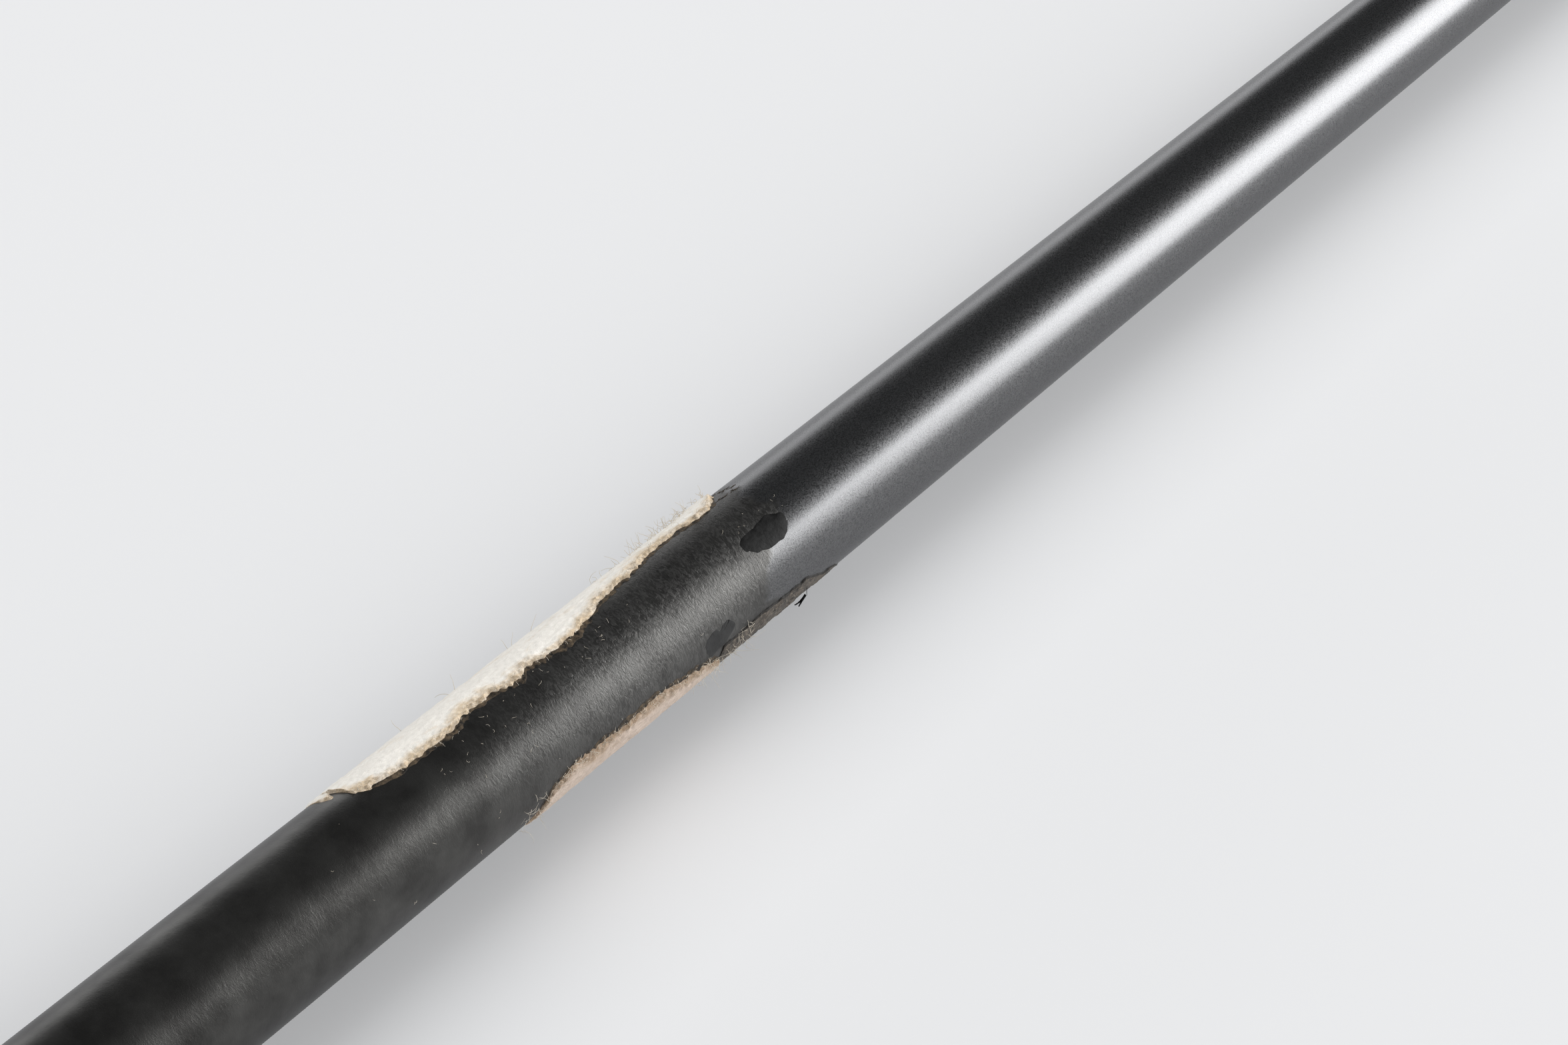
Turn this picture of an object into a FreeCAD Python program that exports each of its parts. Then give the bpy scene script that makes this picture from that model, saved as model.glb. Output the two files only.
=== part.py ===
"""Hybrid golf club: moulded grip, tapered graphite shaft, ferrule and hollow steel head.

The straight pieces are drawn in the shaft's own frame: the butt end at the origin, +Z down the
shaft towards the head, +Y towards the target. The head is drawn at address: the ground is Z = 0,
+X points to the toe, +Y to the target, and the shaft's axis meets the ground at the origin.
Both are then laid down together, the way the club rests on a floor.
"""

import FreeCAD, Part
import Sketcher
import math
import os

Vector = FreeCAD.Vector
Placement = FreeCAD.Placement
Rotation = FreeCAD.Rotation

# Driving dimensions, in millimetres and degrees.
DRIVING = {
    # The club as a whole
    "club_length": 1016.0,
    "lie_angle": 57.5,
    "loft_angle": 21.0,
    "rest_yaw": -32.531,
    "rest_pitch": -49.991,
    "rest_roll": 39.613,
    # Shaft
    "butt_radius": 7.62,
    "tip_radius": 4.70,
    "butt_bore_radius": 6.65,
    "tip_bore_radius": 2.9,
    "butt_straight": 300.0,
    "tip_straight": 84.0,
    # Grip
    "grip_length": 268.0,
    "cap_radius": 15.6,
    "cap_thickness": 3.0,
    "cap_edge": 1.0,
    "cap_spigot_radius": 11.0,
    "cap_spigot_depth": 3.5,
    "vent_radius": 1.75,
    "grip_neck_radius": 13.3,
    "grip_waist_radius": 11.6,
    "grip_middle_radius": 10.5,
    "grip_mouth_radius": 8.9,
    "grip_lip_radius": 8.3,
    "tape_thickness": 0.13,
    "tape_seam_angle": 4.0,
    # Ferrule, hosel and what is glued in them
    "hosel_radius": 6.5,
    "hosel_height": 57.0,
    "bore_radius": 4.80,
    "bore_depth": 31.0,
    "ferrule_length": 23.0,
    "ferrule_band": 5.0,
    "ferrule_top_radius": 5.15,
    "tip_weight_shank": 18.0,
    "tip_weight_flange": 1.6,
    "slip_fit": 0.03,
    # Head
    "heel_x": 8.0,
    "toe_x": 90.0,
    "middle_x": 40.0,
    "front_y": 11.0,
    "back_y": -50.0,
    "ridge_y": -11.0,
    "crown_height": 35.5,
    "skirt_height": 14.5,
    "face_bulge": 300.0,
    "pivot_height": 45.0,
    "hollow_end": 0.5,
    "face_wall": 2.1,
    "crown_wall": 1.0,
    "sole_wall": 2.2,
    "skirt_wall": 3.5,
    "cup_depth": 9.0,
    "cup_heel": 6.0,
    "collar_radius": 22.0,
    "bar_radius": 2.8,
    "bar_waist_radius": 1.6,
    "bar_spacing": 24.0,
    "bar_setback": 14.0,
    "weight_radius": 10.0,
    "weight_top": 11.0,
    "weight_back": 32.0,
    "glue_radius": 14.0,
    "glue_top": 5.0,
    "badge_x": 44.0,
    "badge_y": -16.0,
    "badge_length": 34.0,
    "badge_width": 14.0,
    "badge_thickness": 0.6,
    "badge_tape_thickness": 0.2,
    # What an old label has left on the shaft
    "label_start": 311.0,
    "label_end": 374.0,
    "side_strip_start": 332.0,
    "side_strip_end": 361.5,
    "film_start": 362.0,
    "film_end": 384.0,
    "paper_thickness": 0.4,
    "film_thickness": 0.1,
}


class Size:
    """A length that knows both its expression in the sheet and its present value."""

    def __init__(self, text, number):
        self.text = text
        self.number = number

    def joined(self, sign, other, number):
        return Size(f"({self.text} {sign} {other.text})", number)

    def __add__(self, other):
        other = as_size(other)
        return self.joined("+", other, self.number + other.number)

    def __sub__(self, other):
        other = as_size(other)
        return self.joined("-", other, self.number - other.number)

    def __mul__(self, other):
        other = as_size(other)
        return self.joined("*", other, self.number * other.number)

    def __rmul__(self, other):
        return self * other

    def __truediv__(self, other):
        other = as_size(other)
        return self.joined("/", other, self.number / other.number)


def as_size(value):
    return value if isinstance(value, Size) else Size(repr(float(value)), float(value))


doc = FreeCAD.newDocument("hybrid_club")
sheet = doc.addObject("Spreadsheet::Sheet", "Sizes")
size = {}
for row, (alias, number) in enumerate(DRIVING.items(), start=1):
    sheet.set(f"A{row}", alias)
    sheet.set(f"B{row}", str(number))
    sheet.setAlias(f"B{row}", alias)
    size[alias] = Size(f"Sizes.{alias}", number)
doc.recompute()


def mm(alias):
    """A driving dimension as a plain number."""
    return size[alias].number


# ------------------------------------------------------------ helpers for turned pieces

SKETCH_ORIGIN = (-1, 1)
START_POINT = 1
END_POINT = 2


def new_sketch(body, name):
    """A sketch on the body's own XZ plane: its x is the radius, its y runs down the shaft."""
    sketch = body.newObject("Sketcher::SketchObject", name)
    plane = next(p for p in body.Origin.OriginFeatures if p.Role == "XZ_Plane")
    sketch.AttachmentSupport = (plane, [""])
    sketch.MapMode = "FlatFace"
    return sketch


def draw_outline(sketch, corners):
    """A closed outline through the corners, each tied to the origin through the sheet."""
    corners = [(as_size(x), as_size(y)) for x, y in corners]
    points = [Vector(x.number, y.number, 0) for x, y in corners]
    for index, point in enumerate(points):
        sketch.addGeometry(Part.LineSegment(point, points[(index + 1) % len(points)]), False)
    for index, (x, y) in enumerate(corners):
        before = (index - 1) % len(corners)
        sketch.addConstraint(
            Sketcher.Constraint("Coincident", before, END_POINT, index, START_POINT)
        )
        for direction, place in (("DistanceX", x), ("DistanceY", y)):
            tie = Sketcher.Constraint(direction, *SKETCH_ORIGIN, index, START_POINT, place.number)
            number = sketch.addConstraint(tie)
            sketch.setExpression(f"Constraints[{number}]", place.text)


def turned(label, corners, angle=360):
    """A body turned about the shaft's axis from an outline of (radius, distance) corners."""
    body = doc.addObject("PartDesign::Body", label)
    body.Label = label
    sketch = new_sketch(body, label + "_outline")
    draw_outline(sketch, corners)
    turn = body.newObject("PartDesign::Revolution", label + "_turn")
    turn.Profile = sketch
    turn.ReferenceAxis = (sketch, ["V_Axis"])
    turn.setExpression("Angle", as_size(angle).text)
    body.Tip = turn
    return body


# ------------------------------------------------------------ the shaft line

HOSEL_TOP = size["club_length"] - size["hosel_height"]
TIP_END = HOSEL_TOP + size["bore_depth"] - size["tip_weight_flange"]
TIP_START = TIP_END - size["tip_straight"]
TAPE_RADIUS = size["butt_radius"] + size["tape_thickness"]
SHAFT_BUTT = size["cap_thickness"]


def shaft_radius(distance):
    """The shaft's outer radius where it tapers, at a distance from the butt."""
    taper = (size["butt_radius"] - size["tip_radius"]) / (TIP_START - size["butt_straight"])
    return size["butt_radius"] - taper * (distance - size["butt_straight"])


def make_grip():
    inner = TAPE_RADIUS
    top = size["cap_thickness"]
    pocket = top + size["cap_spigot_depth"]
    length = size["grip_length"]
    return turned(
        "grip_body",
        [
            (size["cap_spigot_radius"], top),
            (size["cap_radius"], top),
            (size["cap_radius"], top + 2.5),
            (size["grip_neck_radius"], top + 22),
            (size["grip_waist_radius"], top + 50),
            (size["grip_middle_radius"], length / 2),
            (size["grip_mouth_radius"], length - 10),
            (size["grip_mouth_radius"], length - 1.5),
            (size["grip_lip_radius"], length),
            (inner, length),
            (inner, pocket),
            (size["cap_spigot_radius"], pocket),
        ],
    )


def make_grip_end_cap():
    edge = size["cap_edge"]
    inner = TAPE_RADIUS
    thickness = size["cap_thickness"]
    depth = thickness + size["cap_spigot_depth"]
    return turned(
        "grip_end_cap",
        [
            (size["vent_radius"], 0),
            (size["cap_radius"] - edge, 0),
            (size["cap_radius"], edge),
            (size["cap_radius"], thickness),
            (size["cap_spigot_radius"], thickness),
            (size["cap_spigot_radius"], depth),
            (inner, depth),
            (inner, thickness),
            (size["vent_radius"], thickness),
        ],
    )


def make_grip_tape():
    end = size["grip_length"] - 4
    return turned(
        "grip_tape",
        [
            (size["butt_radius"], SHAFT_BUTT),
            (TAPE_RADIUS, SHAFT_BUTT),
            (TAPE_RADIUS, end),
            (size["butt_radius"], end),
        ],
        angle=as_size(360) - size["tape_seam_angle"],
    )


def make_shaft():
    return turned(
        "shaft",
        [
            (size["butt_bore_radius"], SHAFT_BUTT),
            (size["butt_radius"], SHAFT_BUTT),
            (size["butt_radius"], size["butt_straight"]),
            (size["tip_radius"], TIP_START),
            (size["tip_radius"], TIP_END),
            (size["tip_bore_radius"], TIP_END),
            (size["tip_bore_radius"], TIP_START),
            (size["butt_bore_radius"], size["butt_straight"]),
        ],
    )


def make_tip_weight():
    shank = size["tip_bore_radius"] - size["slip_fit"]
    return turned(
        "tip_weight",
        [
            (0, TIP_END - size["tip_weight_shank"]),
            (shank, TIP_END - size["tip_weight_shank"]),
            (shank, TIP_END),
            (size["tip_radius"], TIP_END),
            (size["tip_radius"], TIP_END + size["tip_weight_flange"]),
            (0, TIP_END + size["tip_weight_flange"]),
        ],
    )


def make_hosel_epoxy():
    return turned(
        "hosel_epoxy",
        [
            (size["tip_radius"], HOSEL_TOP),
            (size["bore_radius"], HOSEL_TOP),
            (size["bore_radius"], TIP_END),
            (size["tip_radius"], TIP_END),
        ],
    )


def make_ferrule():
    top = HOSEL_TOP - size["ferrule_length"]
    band = HOSEL_TOP - size["ferrule_band"]
    inner = size["tip_radius"] + size["slip_fit"]
    return turned(
        "ferrule",
        [
            (inner, top),
            (size["ferrule_top_radius"], top),
            ((size["ferrule_top_radius"] + size["hosel_radius"]) / 2, (top + band) / 2),
            (size["hosel_radius"], band),
            (size["hosel_radius"], HOSEL_TOP),
            (inner, HOSEL_TOP),
        ],
    )


# ------------------------------------------------------------ the head's skin

LIE = math.radians(mm("lie_angle"))
LOFT = math.radians(mm("loft_angle"))
UP_SHAFT = Vector(-math.cos(LIE), 0, math.sin(LIE))
FACE_OUT = Vector(0, math.cos(LOFT), math.sin(LOFT))

# How many control points each stretch of a head section has.
FACE_POINTS = 9
TOP_EDGE_POINTS = 5
CROWN_POINTS = 13
SOLE_POINTS = 13
LEADING_EDGE_POINTS = 6
TOE_SECTIONS = 16
HEEL_STEP = 6.0
FAN_SECTIONS = 9
TOP_EDGE = 2.4
LEADING_EDGE = 4.5


def end_curve(share, power):
    """1 at the middle of the head, falling to 0 at its end the way a superellipse does."""
    return max(0.0, 1 - abs(share) ** power) ** (1 / power)


def between(a, b, share):
    return a[0] + (b[0] - a[0]) * share, a[1] + (b[1] - a[1]) * share


def distance(a, b):
    return math.hypot(b[0] - a[0], b[1] - a[1])


def rounded(start, corner, end, count):
    """Points of the curve that rounds a corner off."""
    shares = [(i + 0.5) / count for i in range(count)]
    return [between(between(start, corner, s), between(corner, end, s), s) for s in shares]


def head_section(x, walls=0):
    """The head's outline at one x, as (y, z) points: up the face, back over the crown and
    forward under the sole. With walls=1 it is the inside of the walls."""
    toeward = max(0.0, (x - mm("middle_x")) / (mm("toe_x") - mm("middle_x")))
    heelward = max(0.0, (mm("middle_x") - x) / (mm("middle_x") + 30))
    ridge, skirt = mm("ridge_y"), mm("skirt_height")
    bulge = (x - mm("middle_x")) ** 2 / (2 * mm("face_bulge"))
    front = ridge + (mm("front_y") - bulge - ridge) * end_curve(toeward, 3.6)
    slimmer = 1 - 0.62 * heelward**1.6
    back = ridge + (mm("back_y") - ridge) * end_curve(toeward, 2.2) * slimmer
    lower_heel = 1 - 0.30 * heelward**2
    top = skirt + (mm("crown_height") - skirt) * end_curve(toeward, 2.15) * lower_heel
    bottom = skirt - skirt * end_curve(toeward, 2.3) * (1 - 0.05 * heelward)
    front -= walls * mm("face_wall") / math.cos(LOFT)
    back += walls * mm("skirt_wall")
    top -= walls * mm("crown_wall")
    bottom += walls * mm("sole_wall")
    height = top - bottom
    face_top = bottom + height * 0.965
    foot = (front, bottom)
    brow = (front - (face_top - bottom) * math.tan(LOFT), face_top)

    crown = []
    for i in range(CROWN_POINTS):
        angle = math.pi / 2 * i / CROWN_POINTS
        reach = math.sin(angle)
        rise = (top - skirt) * math.cos(angle) ** 1.5 - (top - face_top) * (1 - reach) ** 3
        crown.append((brow[0] + (back - brow[0]) * reach, skirt + rise))
    sole = []
    for i in range(SOLE_POINTS):
        angle = math.pi / 2 * (1 - i / SOLE_POINTS)
        reach = math.sin(angle)
        drop = (skirt - bottom) * math.cos(angle) ** 1.05
        sole.append((foot[0] + (back - foot[0]) * reach, skirt - drop))

    top_edge = min(TOP_EDGE, 0.12 * height)
    leading_edge = min(LEADING_EDGE, 0.2 * height)
    face_length = distance(foot, brow)
    face_start = between(foot, brow, leading_edge / face_length)
    face_end = between(brow, foot, top_edge / face_length)
    crown_start = between(brow, crown[2], top_edge / distance(brow, crown[2]))
    crown[:2] = [crown_start, between(crown_start, crown[2], 0.4)]
    sole_end = between(foot, sole[-1], min(0.9, leading_edge / distance(foot, sole[-1])))

    face = [between(face_start, face_end, i / (FACE_POINTS - 1)) for i in range(FACE_POINTS)]
    brow_curve = rounded(face_end, brow, crown_start, TOP_EDGE_POINTS)
    foot_curve = rounded(sole_end, foot, face_start, LEADING_EDGE_POINTS - 1)
    return face + brow_curve + crown + sole + [sole_end] + foot_curve


def section_angles():
    """Where each point of a head section goes on the hosel's round section, in radians."""
    stretches = (
        (FACE_POINTS, -40, 40),
        (TOP_EDGE_POINTS, 40, 60),
        (CROWN_POINTS, 60, 180),
        (SOLE_POINTS, 180, 300),
        (LEADING_EDGE_POINTS, 300, 320),
    )
    return [
        math.radians(low + (high - low) * i / count)
        for count, low, high in stretches
        for i in range(count)
    ]


def straight_stations(first_angle):
    """The x of each section from the toe to where the head starts to bend into the hosel."""
    middle, toe, heel = mm("middle_x"), mm("toe_x"), mm("heel_x")
    stations = []
    for i in range(TOE_SECTIONS + 1):
        angle = first_angle + (math.pi / 2 - first_angle) * i / TOE_SECTIONS
        stations.append(middle + (toe - middle) * math.cos(angle))
    steps = round((middle - heel) / HEEL_STEP)
    stations += [middle - (middle - heel) * i / steps for i in range(1, steps + 1)]
    return stations


PIVOT = Vector(mm("heel_x"), 0, mm("pivot_height"))
AXIS_BELOW_PIVOT = PIVOT.x * UP_SHAFT.z - PIVOT.z * UP_SHAFT.x
FAN_END_HEIGHT = PIVOT.dot(UP_SHAFT)


def fan_section(points, share, radius):
    """The section swung about the pivot, from the head's own outline towards a circle."""
    turn = LIE * share
    blend = share * share * (3 - 2 * share)
    down = Vector(-math.sin(turn), 0, -math.cos(turn))
    swung = []
    for (y, z), angle in zip(points, section_angles()):
        depth = PIVOT.z - z
        depth += (AXIS_BELOW_PIVOT - radius * math.sin(angle) - depth) * blend
        across = y + (radius * math.cos(angle) - y) * blend
        swung.append(Vector(PIVOT.x, across, PIVOT.z) + down * depth)
    return swung


def hosel_circle(height, radius):
    centre = UP_SHAFT * height
    inward = Vector(math.sin(LIE), 0, math.cos(LIE))
    ahead = Vector(0, 1, 0)
    return [
        centre + inward * (radius * math.sin(angle)) + ahead * (radius * math.cos(angle))
        for angle in section_angles()
    ]


def skinned(rings):
    """A solid whose side is one smooth surface over the rings of control points."""
    count = len(rings[0])
    side = Part.BSplineSurface()
    side.buildFromPolesMultsKnots(
        rings,
        [4] + [1] * (len(rings) - 4) + [4],
        [1] * (count + 1),
        list(range(len(rings) - 2)),
        list(range(count + 1)),
        False,
        True,
        3,
        3,
    )
    skin = side.toShape()
    ends = [edge for edge in skin.Edges if not edge.isSeam(skin)]
    shell = Part.makeShell([skin] + [Part.Face(Part.Wire([edge])) for edge in ends])
    shell.sewShape()
    solid = Part.Solid(shell)
    if solid.Volume < 0:
        solid.reverse()
    return solid


def head_skin():
    """The outside of the head, from the toe round the heel to the top of the hosel."""
    stations = straight_stations(math.radians(1.5))
    rings = [[Vector(x, y, z) for y, z in head_section(x)] for x in stations]
    heel = head_section(mm("heel_x"))
    for step in range(1, FAN_SECTIONS + 1):
        rings.append(fan_section(heel, step / FAN_SECTIONS, mm("hosel_radius")))
    for share in (0.25, 0.5, 0.75, 1.0):
        height = FAN_END_HEIGHT + (mm("hosel_height") - FAN_END_HEIGHT) * share
        rings.append(hosel_circle(height, mm("hosel_radius")))
    return skinned(rings)


def head_hollow():
    """The space inside the head, which ends in the heel short of the hosel's bore."""
    toe_wall = mm("face_wall") / (mm("toe_x") - mm("middle_x"))
    stations = straight_stations(math.acos(1 - toe_wall))
    rings = [[Vector(x, y, z) for y, z in head_section(x, walls=1)] for x in stations]
    heel = head_section(mm("heel_x"), walls=1)
    steps = round(FAN_SECTIONS * mm("hollow_end"))
    for step in range(1, steps + 1):
        share = step / steps * mm("hollow_end")
        rings.append(fan_section(heel, share, mm("hosel_radius") - mm("sole_wall")))
    return skinned(rings)


# ------------------------------------------------------------ helpers for the head's pieces


def solid_feature(name, shape):
    feature = doc.addObject("Part::Feature", name)
    feature.Shape = shape
    return feature


def primitive(kind, name, sizes, placement):
    """A Part primitive whose sizes are tied to the sheet."""
    feature = doc.addObject("Part::" + kind, name)
    for prop, value in sizes.items():
        feature.setExpression(prop, as_size(value).text)
    feature.Placement = placement
    return feature


def combined(kind, label, base, tool):
    feature = doc.addObject("Part::" + kind, label)
    feature.Label = label
    feature.Base = base
    feature.Tool = tool
    return feature


def common(label, base, tool):
    return combined("Common", label, base, tool)


def cut(label, base, tool):
    return combined("Cut", label, base, tool)


# Where the shaft line and things square to the face stand in the head's frame.
ALONG_SHAFT = Placement(
    UP_SHAFT * mm("club_length"), Rotation(Vector(0, 1, 0), 90 + mm("lie_angle"))
)
UP_FACE = Vector(0, -math.sin(LOFT), math.cos(LOFT))
LEANING = Rotation(Vector(1, 0, 0), mm("loft_angle"))


def behind_face(x, depth, height):
    """A placement square to the face, so far behind it and so far up it."""
    foot = Vector(x, mm("front_y"), 0)
    return Placement(foot - FACE_OUT * depth + UP_FACE * height, LEANING)


def make_crown(shell, cup_zone):
    """The thin top, which stops at the face cup, at the skirt and at a collar round the hosel."""
    over = primitive(
        "Box",
        "above_skirt",
        {"Length": size["toe_x"] * 2, "Width": 200, "Height": size["crown_height"] * 3},
        Placement(Vector(-mm("toe_x"), -100, mm("skirt_height")), Rotation()),
    )
    collar = primitive(
        "Cylinder",
        "hosel_collar",
        {"Radius": size["collar_radius"], "Height": 2 * size["hosel_height"]},
        Placement(UP_SHAFT * -mm("hosel_height"), Rotation(Vector(0, 0, 1), UP_SHAFT)),
    )
    crown_zone = cut("crown_zone", cut("crown_zone_blank", over, cup_zone), collar)
    return common("crown", shell, crown_zone), crown_zone


def make_sole_inlay(skin):
    """The layers that fill the recess in the sole: the badge below and its glue tape above it."""
    straight = size["badge_length"] - size["badge_width"]
    tall = 10
    corner = Vector(mm("badge_x") - straight.number / 2, mm("badge_y") - mm("badge_width") / 2, -1)
    bar = primitive(
        "Box",
        "badge_bar",
        {"Length": straight, "Width": size["badge_width"], "Height": tall},
        Placement(corner, Rotation()),
    )
    outline = bar
    for side in (0, 1):
        end = primitive(
            "Cylinder",
            f"badge_end_{side + 1}",
            {"Radius": size["badge_width"] / 2, "Height": tall},
            Placement(corner + Vector(side * straight.number, mm("badge_width") / 2, 0), Rotation()),
        )
        outline = combined("Fuse", f"badge_outline_{side + 1}", outline, end)
    column = common("badge_column", skin, outline)
    doc.recompute()

    raised = []
    for lift in (mm("badge_thickness"), mm("badge_thickness") + mm("badge_tape_thickness")):
        layer = column.Shape.copy()
        layer.translate(Vector(0, 0, lift))
        raised.append(solid_feature("badge_column_raised", layer))
    badge = cut("sole_badge", column, raised[0])
    tape = cut("badge_tape", common("badge_tape_blank", column, raised[0]), raised[1])
    recess = cut("badge_recess", column, raised[1])
    return badge, tape, recess


def make_bar(label, x, hollow):
    """A waisted bar that ties the crown to the sole behind the face."""
    half = mm("crown_height") / 2
    ends, waist = mm("bar_radius"), mm("bar_waist_radius")
    side = Part.Arc(Vector(ends, 0, -half), Vector(waist, 0, 0), Vector(ends, 0, half))
    outline = Part.makePolygon(
        [Vector(ends, 0, half), Vector(ends, 0, 2 * half), Vector(0, 0, 2 * half)]
        + [Vector(0, 0, -2 * half), Vector(ends, 0, -2 * half), Vector(ends, 0, -half)]
    )
    section = Part.Face(Part.Wire([side.toShape()] + outline.Edges))
    bar = solid_feature(label + "_blank", section.revolve(Vector(), Vector(0, 0, 1), 360))
    bar.Placement = behind_face(x, mm("bar_setback"), half)
    return common(label, bar, hollow)


def make_internal_weight(hollow):
    """A slug on the sole at the back of the head."""
    slug = primitive(
        "Cylinder",
        "weight_slug",
        {"Radius": size["weight_radius"], "Height": size["weight_top"]},
        Placement(Vector(mm("middle_x") + 2, -mm("weight_back"), 0), Rotation()),
    )
    return common("internal_weight", slug, hollow)


def make_hot_melt_pad(hollow):
    """Tacky glue, poured in to trim the weight and to catch loose grit."""
    pool = primitive(
        "Cylinder",
        "glue_pool",
        {"Radius": size["glue_radius"], "Height": size["glue_top"]},
        Placement(Vector(mm("middle_x") + 18, -mm("weight_back") / 2, 0), Rotation()),
    )
    return common("hot_melt_pad", pool, hollow)


def make_head():
    """The head's own pieces, each in the head's frame at address."""
    skin = solid_feature("head_skin", head_skin())
    hollow = solid_feature("head_hollow", head_hollow())
    bore = primitive(
        "Cylinder",
        "hosel_bore",
        {"Radius": size["bore_radius"], "Height": size["bore_depth"] + 1},
        ALONG_SHAFT * Placement(Vector(0, 0, HOSEL_TOP.number - 1), Rotation()),
    )
    shell = cut("head_shell", cut("hollow_head", skin, hollow), bore)
    cup_zone = primitive(
        "Box",
        "cup_zone",
        {"Length": size["toe_x"], "Width": size["cup_depth"] + 20, "Height": 100},
        behind_face(mm("cup_heel"), mm("cup_depth"), -30),
    )
    face_cup = common("face_cup", shell, cup_zone)
    crown, crown_zone = make_crown(shell, cup_zone)
    badge, tape, recess = make_sole_inlay(skin)
    body = shell
    for name, zone in (("behind_cup", cup_zone), ("below_crown", crown_zone)):
        body = cut(name, body, zone)
    body = cut("head_body", body, recess)
    bars = [
        make_bar("heel_bar", mm("middle_x") - mm("bar_spacing"), hollow),
        make_bar("toe_bar", mm("middle_x") + mm("bar_spacing"), hollow),
    ]
    weights = [make_internal_weight(hollow), make_hot_melt_pad(hollow)]
    return [body, crown, face_cup, badge, tape] + bars + weights


# ------------------------------------------------------------ what is left of an old label


def make_wrap(label, start, end, thickness, angle):
    """A thin layer on the tapered shaft, part of the way round it."""
    return turned(
        label,
        [
            (shaft_radius(start), start),
            (shaft_radius(start) + thickness, start),
            (shaft_radius(end) + thickness, end),
            (shaft_radius(end), end),
        ],
        angle,
    )


def make_flake():
    """A chip that hangs from the film by a thread."""
    thickness = size["film_thickness"]
    start = size["film_start"] + 14
    end = start + 2.2
    return turned(
        "loose_flake",
        [
            (shaft_radius(start) + thickness, start),
            (shaft_radius(start) + thickness * 4, start),
            (shaft_radius(end) + thickness * 4, end),
            (shaft_radius(end) + thickness, end),
        ],
        12,
    )


def make_residue():
    """Each remnant with the angle, from the shaft's upper side, at which it starts."""
    paper, film = size["paper_thickness"], size["film_thickness"]
    top = make_wrap("label_strip_top", size["label_start"], size["label_end"], paper, 62)
    side = make_wrap(
        "label_strip_side", size["side_strip_start"], size["side_strip_end"], paper, 50
    )
    adhesive = make_wrap("adhesive_film", size["film_start"], size["film_end"], film, 56)
    return [(top, -60), (side, 88), (adhesive, 92), (make_flake(), 128)]


# ------------------------------------------------------------ the club, laid down

REST = Placement(Vector(), Rotation(mm("rest_yaw"), mm("rest_pitch"), mm("rest_roll")))


def laid_down(head_pieces, shaft_pieces, residue):
    """Puts every piece where it is when the club rests on its side, centred over the origin."""
    for piece in head_pieces:
        piece.Placement = REST * piece.Placement
    line = REST * ALONG_SHAFT
    for piece in shaft_pieces:
        piece.Placement = line
    up = line.Rotation.inverted().multVec(Vector(0, 0, 1))
    upper_side = math.degrees(math.atan2(up.y, up.x))
    for piece, around in residue:
        turn = Rotation(Vector(0, 0, 1), upper_side + around)
        piece.Placement = line * Placement(Vector(), turn)

    pieces = head_pieces + shaft_pieces + [piece for piece, around in residue]
    box = FreeCAD.BoundBox()
    for piece in pieces:
        box.add(piece.Shape.optimalBoundingBox(False, False))
    shift = Placement(Vector(-box.Center.x, -box.Center.y, -box.ZMin), Rotation())
    for piece in pieces:
        piece.Placement = shift * piece.Placement
    return pieces


def main():
    shaft_pieces = [
        make_grip(),
        make_grip_end_cap(),
        make_grip_tape(),
        make_shaft(),
        make_tip_weight(),
        make_hosel_epoxy(),
        make_ferrule(),
    ]
    residue = make_residue()
    head_pieces = make_head()
    doc.recompute()
    pieces = laid_down(head_pieces, shaft_pieces, residue)

    for item in doc.Objects:
        if {"Invalid", "Error"} & set(item.State):
            raise RuntimeError(f"{item.Label} did not compute: {item.State}")
    for piece in pieces:
        if piece.Shape.isNull() or not piece.Shape.isValid():
            raise RuntimeError(f"{piece.Label} has no valid shape")

    os.makedirs("parts", exist_ok=True)
    for piece in pieces:
        piece.Shape.exportStep(f"parts/{piece.Label}.step")
        print(f"{piece.Label}: {len(piece.Shape.Solids)} solid, {piece.Shape.Volume:.0f} mm3")


main()
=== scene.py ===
"""Looks of the hybrid golf club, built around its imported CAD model.

The close view is of the bare shaft, where an old label has been peeled off: torn paper along
two sides, fuzz, a film of glue and a few blotches. The rest of the club is dressed for the
other views. Distances along the shaft are in millimetres from the butt end; angles round it
are in degrees from its upper side, growing towards the camera's side.
"""
import math

import bmesh
import bpy
import numpy as np
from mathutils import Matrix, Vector
from mathutils.bvhtree import BVHTree


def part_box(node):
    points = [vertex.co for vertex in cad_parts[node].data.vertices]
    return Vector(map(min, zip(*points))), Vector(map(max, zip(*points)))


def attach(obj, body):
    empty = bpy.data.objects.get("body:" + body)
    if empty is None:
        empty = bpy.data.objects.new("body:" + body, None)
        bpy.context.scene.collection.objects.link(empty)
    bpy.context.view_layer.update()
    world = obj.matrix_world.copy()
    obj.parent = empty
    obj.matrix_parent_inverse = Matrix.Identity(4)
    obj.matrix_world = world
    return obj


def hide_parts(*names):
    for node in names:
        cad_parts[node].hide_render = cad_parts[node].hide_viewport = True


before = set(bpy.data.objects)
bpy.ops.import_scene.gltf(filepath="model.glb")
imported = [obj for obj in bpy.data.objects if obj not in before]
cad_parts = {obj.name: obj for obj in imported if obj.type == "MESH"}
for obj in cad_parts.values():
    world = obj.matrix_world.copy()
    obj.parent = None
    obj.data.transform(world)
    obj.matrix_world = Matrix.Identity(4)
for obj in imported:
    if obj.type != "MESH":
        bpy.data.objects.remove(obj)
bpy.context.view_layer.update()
scene = bpy.context.scene
MM = 0.001


# ------------------------------------------------------------ the shaft line, from the frame


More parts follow.
